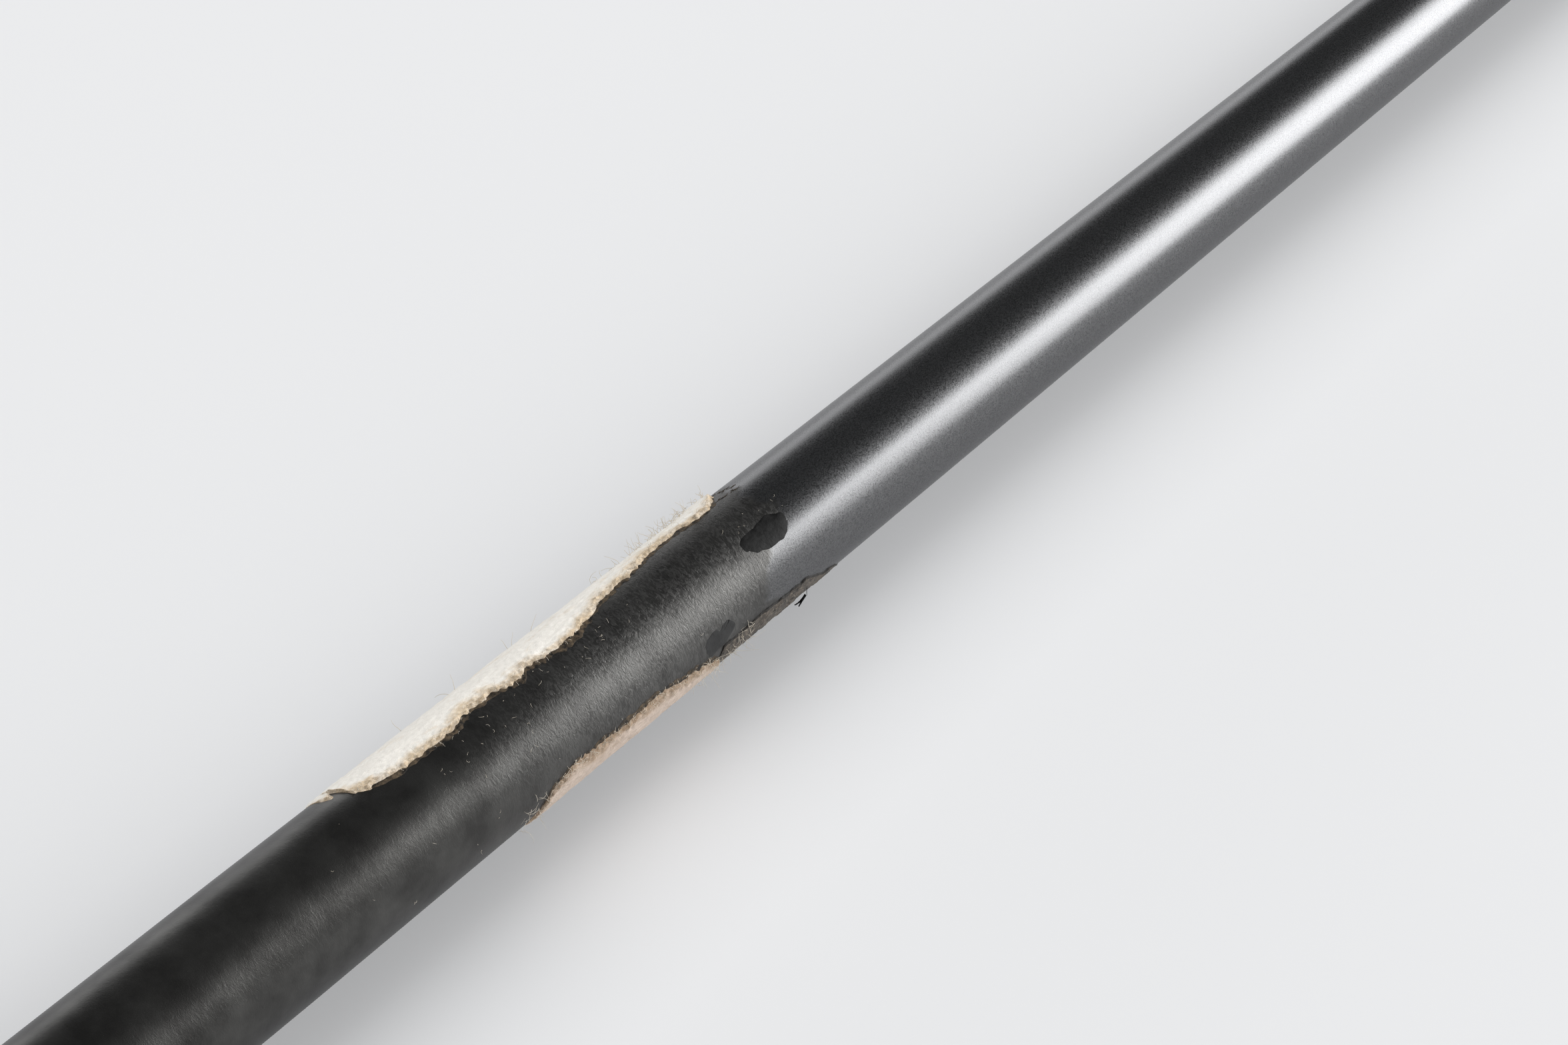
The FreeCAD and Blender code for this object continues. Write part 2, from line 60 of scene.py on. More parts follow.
def points_of(node):
    """A CAD node's vertices as an array, in metres."""
    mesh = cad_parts[node].data
    flat = np.zeros(len(mesh.vertices) * 3)
    mesh.vertices.foreach_get("co", flat)
    return flat.reshape(-1, 3)


def end_centre(points, sign):
    """The middle of a turned node's end ring, low X for sign -1 and high X for sign 1."""
    along = points[:, 0] * sign
    ring = points[along > along.max() - 0.2 * MM]
    return Vector((ring.min(0) + ring.max(0)) / 2)


def middle(node):
    """The centre of a CAD node's box."""
    low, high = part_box(node)
    return (low + high) / 2


CAP_THICKNESS = 3.0
SHAFT_POINTS = points_of("shaft")
SHAFT_START = end_centre(SHAFT_POINTS, -1)
AXIS = (end_centre(SHAFT_POINTS, 1) - SHAFT_START).normalized()
BUTT = SHAFT_START - AXIS * (CAP_THICKNESS * MM)
UP_SIDE = (Vector((0, 0, 1)) - AXIS * AXIS.z).normalized()
NEAR_SIDE = AXIS.cross(UP_SIDE)


def on_shaft(distance, around, radius):
    """Points in the row frame, in metres, from distances, angles and radii about the shaft."""
    distance, around, radius = np.broadcast_arrays(distance, np.radians(around), radius)
    out = np.cos(around)[..., None] * np.array(UP_SIDE)
    out = out + np.sin(around)[..., None] * np.array(NEAR_SIDE)
    line = np.array(BUTT) + distance[..., None] * MM * np.array(AXIS)
    return line + out * radius[..., None] * MM


def profile_of(node, inner=False):
    """A turned node's outer or inner radius at each distance where it has a ring of vertices."""
    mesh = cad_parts[node].data
    normals = np.zeros(len(mesh.vertices) * 3)
    mesh.vertices.foreach_get("normal", normals)
    offset = points_of(node) - np.array(BUTT)
    distance = offset @ np.array(AXIS)
    outward = offset - distance[:, None] * np.array(AXIS)
    radius = np.linalg.norm(outward, axis=1)
    facing = (normals.reshape(-1, 3) * outward).sum(1) / radius
    side = facing < -0.5 if inner else facing > 0.5
    keys, radius = np.round(distance[side] / MM, 1), radius[side] / MM
    stops = np.unique(keys)
    return stops, np.array([radius[keys == k].max() for k in stops])


SHAFT_PROFILE = profile_of("shaft")
BORE_PROFILE = profile_of("shaft", inner=True)


def shaft_radius(distance):
    """The shaft's outer radius, in millimetres."""
    return np.interp(distance, *SHAFT_PROFILE)


# ------------------------------------------------------------ camera


def look_from(azimuth, down):
    """The camera's line of sight, from an azimuth off +X and an angle below the horizon."""
    a, d = math.radians(azimuth), math.radians(down)
    return Vector((math.cos(d) * math.cos(a), math.cos(d) * math.sin(a), -math.sin(d)))


AIM_ALONG_SHAFT = 381.4
SIGHT = look_from(38.25, 39.76)
CAMERA_DISTANCE = 0.4064
AIM = BUTT + AXIS * (AIM_ALONG_SHAFT * MM)

camera = bpy.data.objects.new("camera", bpy.data.cameras.new("camera"))
scene.collection.objects.link(camera)
camera.data.lens = 85
camera.data.sensor_width = 36
camera.data.clip_start = 0.01
camera.data.clip_end = 50
camera.location = AIM - SIGHT * CAMERA_DISTANCE
camera.rotation_euler = SIGHT.to_track_quat("-Z", "Y").to_euler()
scene.camera = camera


# ------------------------------------------------------------ helpers for materials


class Look:
    """A material made of nodes round one Principled shader."""

    MIX_COLOURS = (0, 6, 7)
    MIX_NUMBERS = (0, 2, 3)

    def __init__(self, name, **uniform):
        """Starts the material, with uniform values set on the shader's own sockets."""
        self.material = bpy.data.materials.new(name)
        self.material.use_nodes = True
        self.tree = self.material.node_tree
        self.shader = self.tree.nodes["Principled BSDF"]
        self.place = self.add("ShaderNodeTexCoord").outputs["Object"]
        for socket, value in uniform.items():
            self.set(socket.replace("_", " "), value)

    def feed(self, socket, value):
        """Gives a socket another node's output, or a plain value."""
        if isinstance(value, bpy.types.NodeSocket):
            self.tree.links.new(value, socket)
        elif socket.type == "RGBA" and len(value) == 3:
            socket.default_value = (*value, 1)
        else:
            socket.default_value = value

    def set(self, socket, value):
        """Feeds one of the shader's sockets, by its name."""
        self.feed(self.shader.inputs[socket], value)

    def add(self, kind, inputs=None, **settings):
        """A new node with its settings, and its inputs fed by name."""
        node = self.tree.nodes.new(kind)
        for name, value in settings.items():
            setattr(node, name, value)
        for name, value in (inputs or {}).items():
            self.feed(node.inputs[name], value)
        return node

    def stretched(self, along, across):
        """The place, scaled so that a texture is longer along the shaft than across it."""
        scale = (1 / along, 1 / across, 1 / across)
        return self.add("ShaderNodeMapping", {"Vector": self.place, "Scale": scale}).outputs[0]

    def noise(self, size, detail=3.0, rough=0.55, place=None, warp=0.0):
        """Cloudy noise from 0 to 1, of patches so many millimetres across."""
        inputs = {"Vector": place or self.place, "Scale": 1 / (size * MM), "Detail": detail}
        inputs.update({"Roughness": rough, "Distortion": warp})
        return self.add("ShaderNodeTexNoise", inputs).outputs["Fac"]

    def cells(self, size, place=None):
        """A random number from 0 to 1 for each cell, of so many millimetres."""
        inputs = {"Vector": place or self.place, "Scale": 1 / (size * MM)}
        colour = self.add("ShaderNodeTexVoronoi", inputs).outputs["Color"]
        return self.add("ShaderNodeSeparateColor", {"Color": colour}).outputs[0]

    def attribute(self, name):
        """A number that the mesh carries at each of its points."""
        return self.add("ShaderNodeAttribute", attribute_name=name).outputs["Fac"]

    def arithmetic(self, kind, a, b):
        """The product, sum or the like of two numbers."""
        node = self.add("ShaderNodeMath", operation=kind)
        self.feed(node.inputs[0], a)
        self.feed(node.inputs[1], b)
        return node.outputs[0]

    def times(self, a, b):
        """a multiplied by b."""
        return self.arithmetic("MULTIPLY", a, b)

    def plus(self, a, b):
        """a added to b."""
        return self.arithmetic("ADD", a, b)

    def span(self, value, low, high, to_low=0.0, to_high=1.0):
        """The value's span from low to high, stretched over another span and held there."""
        inputs = {"Value": value, "From Min": low, "From Max": high}
        inputs.update({"To Min": to_low, "To Max": to_high})
        node = self.add("ShaderNodeMapRange", inputs, clamp=True)
        return node.outputs[0]

    def mix(self, kind, sockets, values):
        """A Mix node whose factor and two ends are fed, by the numbers of their sockets."""
        node = self.add("ShaderNodeMix", data_type=kind)
        for number, value in zip(sockets, values):
            self.feed(node.inputs[number], value)
        return node

    def between(self, share, a, b):
        """A colour between two colours."""
        return self.mix("RGBA", self.MIX_COLOURS, (share, a, b)).outputs[2]

    def blend(self, share, a, b):
        """A number between two numbers."""
        return self.mix("FLOAT", self.MIX_NUMBERS, (share, a, b)).outputs[0]

    def bump(self, height, depth, normal=None):
        """A relief so many millimetres deep."""
        inputs = {"Height": height, "Distance": depth * MM, "Strength": 1.0}
        if normal is not None:
            inputs["Normal"] = normal
        return self.add("ShaderNodeBump", inputs).outputs[0]


# ------------------------------------------------------------ helpers for meshes


def linked(name, points, faces):
    """A smooth mesh object in the scene, from points in metres and faces."""
    mesh = bpy.data.meshes.new(name)
    mesh.from_pydata(np.asarray(points, float).tolist(), [], np.asarray(faces).tolist())
    mesh.shade_smooth()
    piece = bpy.data.objects.new(name, mesh)
    scene.collection.objects.link(piece)
    return piece


def quads_of(index):
    """Quads over a grid of vertex numbers."""
    corners = (index[:-1, :-1], index[1:, :-1], index[1:, 1:], index[:-1, 1:])
    return np.stack(corners, axis=-1).reshape(-1, 4)


def ring_surface(name, grid):
    """A closed turned surface: rows of points round the shaft, the last row joining the first."""
    rows, columns = grid.shape[:2]
    index = np.arange(rows * columns).reshape(rows, columns)
    index = np.vstack([index, index[:1]])
    index = np.hstack([index, index[:, :1]])
    return linked(name, grid.reshape(-1, 3), quads_of(index)[:, ::-1])


def slab(name, top, bottom):
    """A closed sheet between two grids of points that have the same outline."""
    rows, columns = top.shape[:2]
    upper = np.arange(rows * columns).reshape(rows, columns)
    lower = upper + rows * columns
    faces = [quads_of(upper), quads_of(lower)[:, ::-1]]
    for high, low in ((upper[0], lower[0]), (upper[-1, ::-1], lower[-1, ::-1])):
        faces.append(np.stack([high[:-1], high[1:], low[1:], low[:-1]], axis=-1))
    for high, low in ((upper[::-1, 0], lower[::-1, 0]), (upper[:, -1], lower[:, -1])):
        faces.append(np.stack([high[:-1], high[1:], low[1:], low[:-1]], axis=-1))
    points = np.concatenate([top.reshape(-1, 3), bottom.reshape(-1, 3)])
    return linked(name, points, np.concatenate(faces))


def add_attribute(piece, name, values):
    """Gives each point of a mesh a number that its material reads."""
    layer = piece.data.attributes.new(name, "FLOAT", "POINT")
    layer.data.foreach_set("value", np.asarray(values, np.float32).ravel())


def outward(mesh):
    """Turns a closed mesh's faces to the outside."""
    form = bmesh.new()
    form.from_mesh(mesh)
    bmesh.ops.recalc_face_normals(form, faces=form.faces)
    form.to_mesh(mesh)
    form.free()


def eased(value, low, high):
    """0 below low, 1 above high, and smooth between."""
    share = np.clip((value - low) / (high - low), 0, 1)
    return share * share * (3 - 2 * share)


def ripple(rng, x, y, cell_x, cell_y):
    """Smooth random heights from -1 to 1 over cells of the given size."""
    x, y = np.broadcast_arrays(np.asarray(x, float) / cell_x, np.asarray(y, float) / cell_y)
    column, row = np.floor(x).astype(int), np.floor(y).astype(int)
    in_x, in_y = eased(x - column, 0, 1), eased(y - row, 0, 1)
    column, row = column - column.min(), row - row.min()
    heights = rng.uniform(-1, 1, (column.max() + 2, row.max() + 2))
    near = heights[column, row] * (1 - in_x) + heights[column + 1, row] * in_x
    far = heights[column, row + 1] * (1 - in_x) + heights[column + 1, row + 1] * in_x
    return near * (1 - in_y) + far * in_y


def wave(rng, x, cell):
    """Smooth random heights from -1 to 1 that vary one way only."""
    return ripple(rng, x, 0 * x, cell, 1)


def dress(piece, look, slot_name, *nodes):
    """Gives a new piece its material and body, and hides the CAD nodes it stands for. The slot name is
    not used.
    """
    piece.data.materials.clear()
    piece.data.materials.append(look.material)
    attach(piece, "root")
    if nodes:
        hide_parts(*nodes)
    return piece


# ------------------------------------------------------------ the shaft

# Where the paint turns from dull to clean, as distances at angles round the shaft
DULL_EDGE = ((-180, 374), (-52, 376.5), (-36, 377), (-10, 376), (25, 377), (45, 374), (62, 371),
             (85, 369), (110, 378), (180, 374))
BARE_FROM = 255.0
BARE_TO = 540.0
BARE_STEP = 0.45
SCALY_FROM = 318
SCALY_FULLY = 350


def shaft_piece(rng):
    """The tapered tube, with its rings close together where it is bare."""
    start, end = SHAFT_PROFILE[0][0], SHAFT_PROFILE[0][-1]
    outer = np.unique(np.concatenate([
        np.linspace(start, BARE_FROM, 40),
        np.arange(BARE_FROM, BARE_TO, BARE_STEP),
        np.linspace(BARE_TO, end, 140),
    ]))
    bore = np.linspace(end, start, 60)
    distance = np.concatenate([outer, bore])[:, None]
    around = np.linspace(-180, 180, 192, endpoint=False)[None, :]
    radius = np.concatenate([shaft_radius(outer), np.interp(bore, *BORE_PROFILE)])[:, None]
    piece = ring_surface("shaft_tube", on_shaft(distance, around, radius + 0 * around))
    edge = np.interp(around, *zip(*DULL_EDGE)) + 1.2 * wave(rng, around, 9)
    dull = 1 - eased(distance, edge - 2.2, edge + 1.4)
    add_attribute(piece, "dull", dull)
    scaly = eased(distance, SCALY_FROM, SCALY_FULLY) * dull
    add_attribute(piece, "scaly", scaly + 0 * around)
    return piece


def shaft_look():
    """Satin charcoal paint full of fine metal flake, dulled where the label's glue has been."""
    look = Look("graphite_paint", Specular_IOR_Level=0.5, Specular_Tint=(0.80, 0.80, 0.81, 1))
    grain = look.cells(0.11)
    patchy = look.times(look.plus(look.noise(1.1, 4, 0.7), -0.5), 0.9)
    dull = look.span(look.plus(look.attribute("dull"), patchy), 0.3, 0.7)
    scaly = look.attribute("scaly")
    scales = look.noise(0.62, 4, 0.68, look.stretched(0.6, 1.3), 1.1)
    broken = look.span(scales, 0.45, 0.58)
    clouds = look.noise(5, 4, 0.6)

    clean = look.between(grain, (0.090, 0.091, 0.093), (0.154, 0.155, 0.158))
    stain = look.between(look.span(clouds, 0.35, 0.7), (0.047, 0.046, 0.044), (0.087, 0.086, 0.082))
    lifted = look.times(scaly, look.span(broken, 0, 1, 0.12, 0.45))
    stain = look.between(lifted, stain, (0.175, 0.172, 0.167))
    look.set("Base Color", look.between(dull, clean, stain))

    shiny = look.blend(grain, 0.25, 0.36)
    matt = look.span(look.times(broken, scaly), 0.0, 1.0, 0.36, 0.50)
    look.set("Roughness", look.blend(dull, shiny, matt))
    look.set("Metallic", look.blend(dull, 0.95, 0.88))

    fine = look.bump(look.noise(0.16, 2), 0.005)
    depth = look.times(dull, look.span(scaly, 0, 1, 0.25, 1))
    look.set("Normal", look.bump(look.times(scales, depth), 0.06, fine))
    return look


# ------------------------------------------------------------ what is left of the label

# Torn edges and blotches, as (distance along the shaft, angle round it) points
TOP_EDGE = ((312.9, -52), (313.1, -32), (313.7, -24), (314.2, -25), (314.6, -37), (315.0, -24),
            (315.4, -10), (316.6, -6), (318.6, -3), (320.5, 1), (323.6, 0), (326.3, 2),
            (329.2, -1), (331.2, -4), (334.2, -4), (336.6, 1), (338.4, 3), (339.5, -3),
            (341.5, 0), (344.8, 2), (347.3, 0), (350.2, -5), (352, -10), (355.2, -13),
            (359, -16), (363.1, -22), (365.6, -23), (368.6, -20), (371.2, -19), (373, -25),
            (374.4, -34), (374.9, -44))
SIDE_EDGE = ((331.4, 120), (332.8, 109), (334.1, 95), (335.4, 91), (337.8, 86), (339.9, 88),
             (343.1, 87), (345.3, 89), (348.6, 87), (351.9, 88), (354.7, 93), (357, 94),
             (359.3, 98), (361.2, 104), (362, 118))
FILM_EDGE = ((361, 112), (361.8, 94), (362.4, 93), (365.3, 95), (367.1, 92), (369.3, 93),
             (371.2, 94), (373, 94), (374.9, 95), (376, 94), (377.6, 99), (379.5, 108),
             (381.6, 111), (383.5, 124))
LARGE_BLOTCH = ((376.2, 39), (376.4, 29), (374.5, 22), (372.5, 24), (370.0, 25),
                (369.4, 33), (370.3, 41), (372.6, 47), (374.8, 46))
SMALL_BLOTCH = ((363.2, 74), (363.9, 81), (363.3, 87), (361.8, 93), (360.0, 95),
                (359.0, 87), (359.2, 77), (360.9, 73), (361.6, 76.5), (362.2, 73))
PAPER_STEP = 0.12
FRINGE_STEP = 0.15
UNDER = 0.06


def strip(name, rng, edge, far_side, thickness, lip, ragged, tip_rise=0.0):
    """Torn paper between its ragged near edge and its far edge, thin where it is torn."""
    columns = 84
    stops, angles = zip(*edge)
    distance = np.arange(stops[0], stops[-1], PAPER_STEP)[:, None]
    radius = shaft_radius(distance)
    arc = radius * math.pi / 180
    near = np.interp(distance, stops, angles)
    near = near + ragged * wave(rng, distance, 1.1)
    near = near + 0.6 * ragged * wave(rng, distance, 0.35)
    far = far_side + 3 * wave(rng, distance, 2.5)
    share = 0.5 - 0.5 * np.cos(np.pi * np.linspace(0, 1, columns))[None, :]
    around = near + (far - near) * share
    width = np.abs(around - near) * arc
    to_far = np.abs(far - around) * arc
    to_end = np.minimum(distance - stops[0], stops[-1] - distance)

    torn = 0.6 + 0.2 * ripple(rng, distance, around, 0.7, 9)
    body = eased(width, 0, torn) * eased(to_far, 0, 0.5) * eased(to_end, -0.1, 0.8)
    reach = 0.9 + 0.5 * wave(rng, distance, 3.1)
    rim = eased(width, 0, 0.3) * (1 - eased(width, 0.35, reach + 0.4))
    lumps = 0.5 + 0.5 * ripple(rng, distance, around, 1.7, 7)
    lumps = lumps + 0.4 * ripple(rng, distance, around, 0.6, 4)
    height = thickness * (0.72 + 0.2 * ripple(rng, distance, around, 5, 12))
    height = height + lip * rim * np.clip(lumps, 0, 1.3)
    height = height + 0.05 * ripple(rng, distance + 0.05 * around, around, 1.6, 2.6)
    rough = 0.10 * ripple(rng, distance, around, 0.55, 3.0)
    rough = rough + 0.05 * ripple(rng, distance, around, 0.28, 1.6)
    height = height + rough * (0.35 + 0.65 * (1 - eased(width, 0.9, 2.0)))
    height = height + tip_rise * eased(distance, stops[-1] - 9, stops[-1] - 3)
    height = np.clip(height * body, 0.004, thickness + tip_rise + 0.14)

    order = -1 if far_side > near.mean() else 1
    piece = slab(name, on_shaft(distance, around, radius + height)[:, ::order],
                 on_shaft(distance, around, radius - UNDER)[:, ::order])
    fray = 1 - eased(width, 0.2, 2.0 * reach + 0.4)
    add_attribute(piece, "fray", np.tile(fray[:, ::order].reshape(-1), 2))
    return piece


def paper_look(name, pale, tan):
    """Paper that is smooth and pale away from its torn edge, tan and fibrous along it."""
    look = Look(name, Roughness=0.92, Specular_IOR_Level=0.2)
    fray = look.attribute("fray")
    fibres = look.noise(0.4, 5, 0.7, look.stretched(2.2, 0.6), 0.4)
    clouds = look.noise(1.6, 4, 0.6, look.stretched(2.0, 0.8))
    stained = look.plus(look.times(fray, 0.95), look.span(clouds, 0.38, 0.72, -0.3, 0.5))
    colour = look.between(look.span(stained, 0.15, 1.0), pale, tan)
    tufts = look.span(look.noise(0.35, 4, 0.7), 0.52, 0.66)
    colour = look.between(look.times(tufts, 0.35), colour, pale)
    grime = look.span(look.times(fray, look.noise(0.55, 4, 0.7)), 0.40, 0.56)
    look.set("Base Color", look.between(look.times(grime, 0.55), colour, (0.20, 0.14, 0.085)))
    look.set("Normal", look.bump(fibres, 0.10, look.bump(look.noise(0.14, 2), 0.03)))
    return look


def fringe(name, rng, edge, side, reach, start, end):
    """Dirty glue and a painted shadow along a strip's torn edge, as a dark sheet in uneven tongues."""
    columns = 26
    hidden = 0.5
    stops, angles = zip(*edge)
    distance = np.arange(start, end, FRINGE_STEP)[:, None]
    radius = shaft_radius(distance)
    near = np.interp(distance, stops, angles)
    tongue = reach * (0.55 + 0.45 * wave(rng, distance, 1.6))
    tongue = tongue + 0.35 * reach * wave(rng, distance, 0.45)
    to_end = np.minimum(distance - start, end - distance)
    tongue = np.clip(tongue, 0.06, None) * eased(to_end, 0, 1.5)
    share = np.linspace(0, 1, columns)[None, :]
    degree = 180 / math.pi / radius
    around = near + side * ((hidden + tongue) * share - hidden) * degree
    rise = 0.05 + 0.05 * ripple(rng, distance, around, 0.4, 3)
    height = np.clip(rise * (1 - share**3) + 0.015, 0.003, 0.2)
    return slab(name, on_shaft(distance, around, radius + height)[:, ::side],
                on_shaft(distance, around, radius - UNDER)[:, ::side])


def film_piece(rng):
    """Dried glue with lint in it, in lumps, with a lifted rim."""
    columns = 90
    far_side = 146
    stops, angles = zip(*FILM_EDGE)
    distance = np.arange(stops[0], stops[-1], PAPER_STEP)[:, None]
    radius = shaft_radius(distance)
    arc = radius * math.pi / 180
    near = np.interp(distance, stops, angles) + 0.8 * wave(rng, distance, 0.7)
    far = far_side + 5 * wave(rng, distance, 2)
    around = near + (far - near) * np.linspace(0, 1, columns)[None, :]
    inward = np.abs(around - near) * arc
    to_far = np.abs(far - around) * arc
    to_end = np.minimum(distance - stops[0], stops[-1] - distance)

    body = eased(to_far, 0, 0.6) * eased(to_end, -0.1, 1.0)
    lumps = ripple(rng, distance, around, 1.3, 9) + 0.6 * ripple(rng, distance, around, 0.5, 4)
    height = (0.06 + 0.08 * np.clip(lumps, -0.6, 1)) * eased(inward, 0, 0.25)
    height = height + 0.10 * eased(inward, 0, 0.12) * (1 - eased(inward, 0.12, 0.4))
    height = height + 0.03 * ripple(rng, distance, around, 0.25, 2)
    height = np.clip(height * body, 0.004, 0.3)
    piece = slab("adhesive_film_skin", on_shaft(distance, around, radius + height)[:, ::-1],
                 on_shaft(distance, around, radius - UNDER)[:, ::-1])
    # Near the lifted rim, where the material paints a near-black shadow.
    fray = 1 - eased(inward, 0.05, 0.5)
    add_attribute(piece, "fray", np.tile(fray[:, ::-1].reshape(-1), 2))
    return piece


def film_look():
    """Dried glue, mottled brown and grey, with pale lint and dark pits in it, and a painted shadow
    along its lifted rim.
    """
    look = Look("dried_glue", Specular_IOR_Level=0.25)
    clouds = look.noise(0.9, 4, 0.65)
    specks = look.span(look.noise(0.3, 3, 0.7), 0.56, 0.66)
    mottle = look.span(clouds, 0.38, 0.66)
    colour = look.between(mottle, (0.030, 0.026, 0.022), (0.145, 0.122, 0.10))
    colour = look.between(look.times(specks, 0.5), colour, (0.40, 0.35, 0.28))
    pits = look.span(look.noise(0.42, 3, 0.7), 0.30, 0.42, 1.0, 0.0)
    colour = look.between(pits, colour, (0.015, 0.013, 0.012))
    # Near-black along the lifted rim: a painted shadow under the lifted edge.
    rim = look.span(look.attribute("fray"), 0.45, 0.95)
    look.set("Base Color", look.between(rim, colour, (0.014, 0.012, 0.010)))
    look.set("Roughness", look.span(clouds, 0.3, 0.7, 0.42, 0.75))
    look.set("Normal", look.bump(look.noise(0.35, 4, 0.7), 0.07))
    return look


def fringe_look():
    """Glue that has gone black, with tan crumbs of paper in it; the black also stands for a painted
    shadow under the strips' raised torn edges.
    """
    look = Look("dirty_glue_and_shadow", Specular_IOR_Level=0.35)
    clouds = look.noise(0.7, 4, 0.7)
    crumbs = look.span(clouds, 0.4, 0.68)
    # Near-black: dirty glue, and painted shadow under the raised torn edge.
    look.set("Base Color", look.between(crumbs, (0.010, 0.009, 0.008), (0.13, 0.095, 0.06)))
    look.set("Roughness", look.span(clouds, 0.3, 0.7, 0.5, 0.85))
    look.set("Normal", look.bump(look.noise(0.25, 3, 0.7), 0.05))
    return look


def blotch_look(name, dark, pale):
    """Smooth dark glue with a slight pucker."""
    look = Look(name, Specular_IOR_Level=0.14)
    clouds = look.noise(1.3, 4, 0.65)
    look.set("Base Color", look.between(look.span(clouds, 0.4, 0.7), dark, pale))
    look.set("Roughness", look.span(clouds, 0.3, 0.7, 0.42, 0.58))
    look.set("Normal", look.bump(look.noise(0.8, 4, 0.65), 0.05))
    return look


PATCH_POINTS = 96
PATCH_SHARES = (1, 0.985, 0.96, 0.9, 0.8, 0.65, 0.45, 0.25, 0.1)
PATCH_HEIGHT = 0.025
PATCH_WOBBLE = 0.12


def loop_through(corners, count):
    """A smooth closed curve through corners, as count points."""
    corners = np.array(corners, float)
    points = []
    for i in range(count):
        at = i / count * len(corners)
        k, t = int(at), at - int(at)
        a, b, c, d = (corners[(k + j) % len(corners)] for j in (-1, 0, 1, 2))
        points.append(0.5 * (2 * b + (c - a) * t + (2 * a - 5 * b + 4 * c - d) * t**2
                             + (3 * b - a - 3 * c + d) * t**3))
    return np.array(points)


def patch(name, rng, corners):
    """A thin lens of dried glue with a smooth outline, as rings that close on a small one."""
    outline = loop_through(corners, PATCH_POINTS)
    heart = outline.mean(0)
    degree = 180 / math.pi / float(shaft_radius(heart[0]))
    turn = np.arange(float(PATCH_POINTS))
    outline[:, 0] += PATCH_WOBBLE * wave(rng, turn, 3)
    outline[:, 1] += PATCH_WOBBLE * degree * wave(rng, turn, 3)
    shares = np.array(PATCH_SHARES)[:, None, None]
    rings = heart + (outline - heart) * shares
    distance, around = rings[:, :, 0], rings[:, :, 1]
    rise = PATCH_HEIGHT * eased(1 - shares[:, 0], 0, 0.12) + 0 * distance
    rise = rise * (1 + 0.3 * ripple(rng, distance, around, 1.2, 9)) + 0.002
    base = shaft_radius(distance)
    points = np.concatenate([on_shaft(distance, around, base + rise).reshape(-1, 3),
                             on_shaft(distance, around, base - 0.03).reshape(-1, 3)])
    count = distance.size
    upper = np.arange(count).reshape(-1, PATCH_POINTS)
    upper = np.hstack([upper, upper[:, :1]])
    lower = upper + count
    rim = np.stack([upper[0, :-1], upper[0, 1:], lower[0, 1:], lower[0, :-1]], axis=-1)
    faces = np.concatenate([quads_of(upper)[:, ::-1], quads_of(lower), rim]).tolist()
    faces += [upper[-1, :-1].tolist(), lower[-1, :-1][::-1].tolist()]
    mesh = bpy.data.meshes.new(name)
    mesh.from_pydata(points.tolist(), [], faces)
    outward(mesh)
    mesh.shade_smooth()
    piece = bpy.data.objects.new(name, mesh)
    scene.collection.objects.link(piece)
    return piece


def fibres(name, rng, roots, headings, lengths, curl, thick, steps=9):
    """Fine curling hairs, each a thin tapered tube, as one piece. Lengths in millimetres."""
    count = len(roots)
    roots, headings = np.asarray(roots, float), np.asarray(headings, float)
    headings /= np.linalg.norm(headings, axis=1, keepdims=True)
    bend = rng.normal(size=(count, 3))
    line = [roots]
    step = (np.asarray(lengths) / (steps - 1) * MM)[:, None]
    for _ in range(steps - 1):
        bend = bend + 0.5 * rng.normal(size=(count, 3))
        headings = headings + curl * bend / steps
        headings /= np.linalg.norm(headings, axis=1, keepdims=True)
        line.append(line[-1] + headings * step)
    line = np.stack(line, axis=1)
    reach = line[:, -1] - line[:, 0]
    side = np.cross(reach, rng.normal(size=(count, 3)))
    side /= np.linalg.norm(side, axis=1, keepdims=True)
    other = np.cross(reach, side)
    other /= np.linalg.norm(other, axis=1, keepdims=True)
    taper = np.linspace(1, 0.45, steps)[None, :, None] * thick * MM
    corners = []
    for k in range(4):
        a = math.pi / 2 * k
        out = math.cos(a) * side + math.sin(a) * other
        corners.append(line + out[:, None, :] * taper)
    points = np.stack(corners, axis=2)
    index = np.arange(points[..., 0].size).reshape(count, steps, 4)
    wrapped = np.concatenate([index, index[:, :, :1]], axis=2)
    start, end = wrapped[:, :-1], wrapped[:, 1:]
    faces = np.stack([start[..., :-1], start[..., 1:], end[..., 1:], end[..., :-1]], axis=-1)
    caps = np.concatenate([index[:, 0, ::-1], index[:, -1]])
    return linked(name, points.reshape(-1, 3), np.concatenate([faces.reshape(-1, 4), caps]))


def directions(around):
    """Outward and round directions on the shaft at the given angles."""
    a = np.radians(np.asarray(around, float))[:, None]
    up, near = np.array(UP_SIDE), np.array(NEAR_SIDE)
    return np.cos(a) * up + np.sin(a) * near, np.cos(a) * near - np.sin(a) * up


def fuzz(name, rng, distance, around, lift, lean, lengths, curl, thick, above=0.2):
    """Hairs that stand on the shaft: lift and lean share out their direction."""
    distance, around = np.asarray(distance, float), np.asarray(around, float)
    out, turn = directions(around)
    along = np.array(AXIS)[None, :] * rng.normal(0, 1, (len(around), 1))
    heading = lift * out + lean * turn * rng.normal(0, 1, (len(around), 1)) + along
    radius = shaft_radius(distance) + above
    return fibres(name, rng, on_shaft(distance, around, radius), heading, lengths, curl, thick)


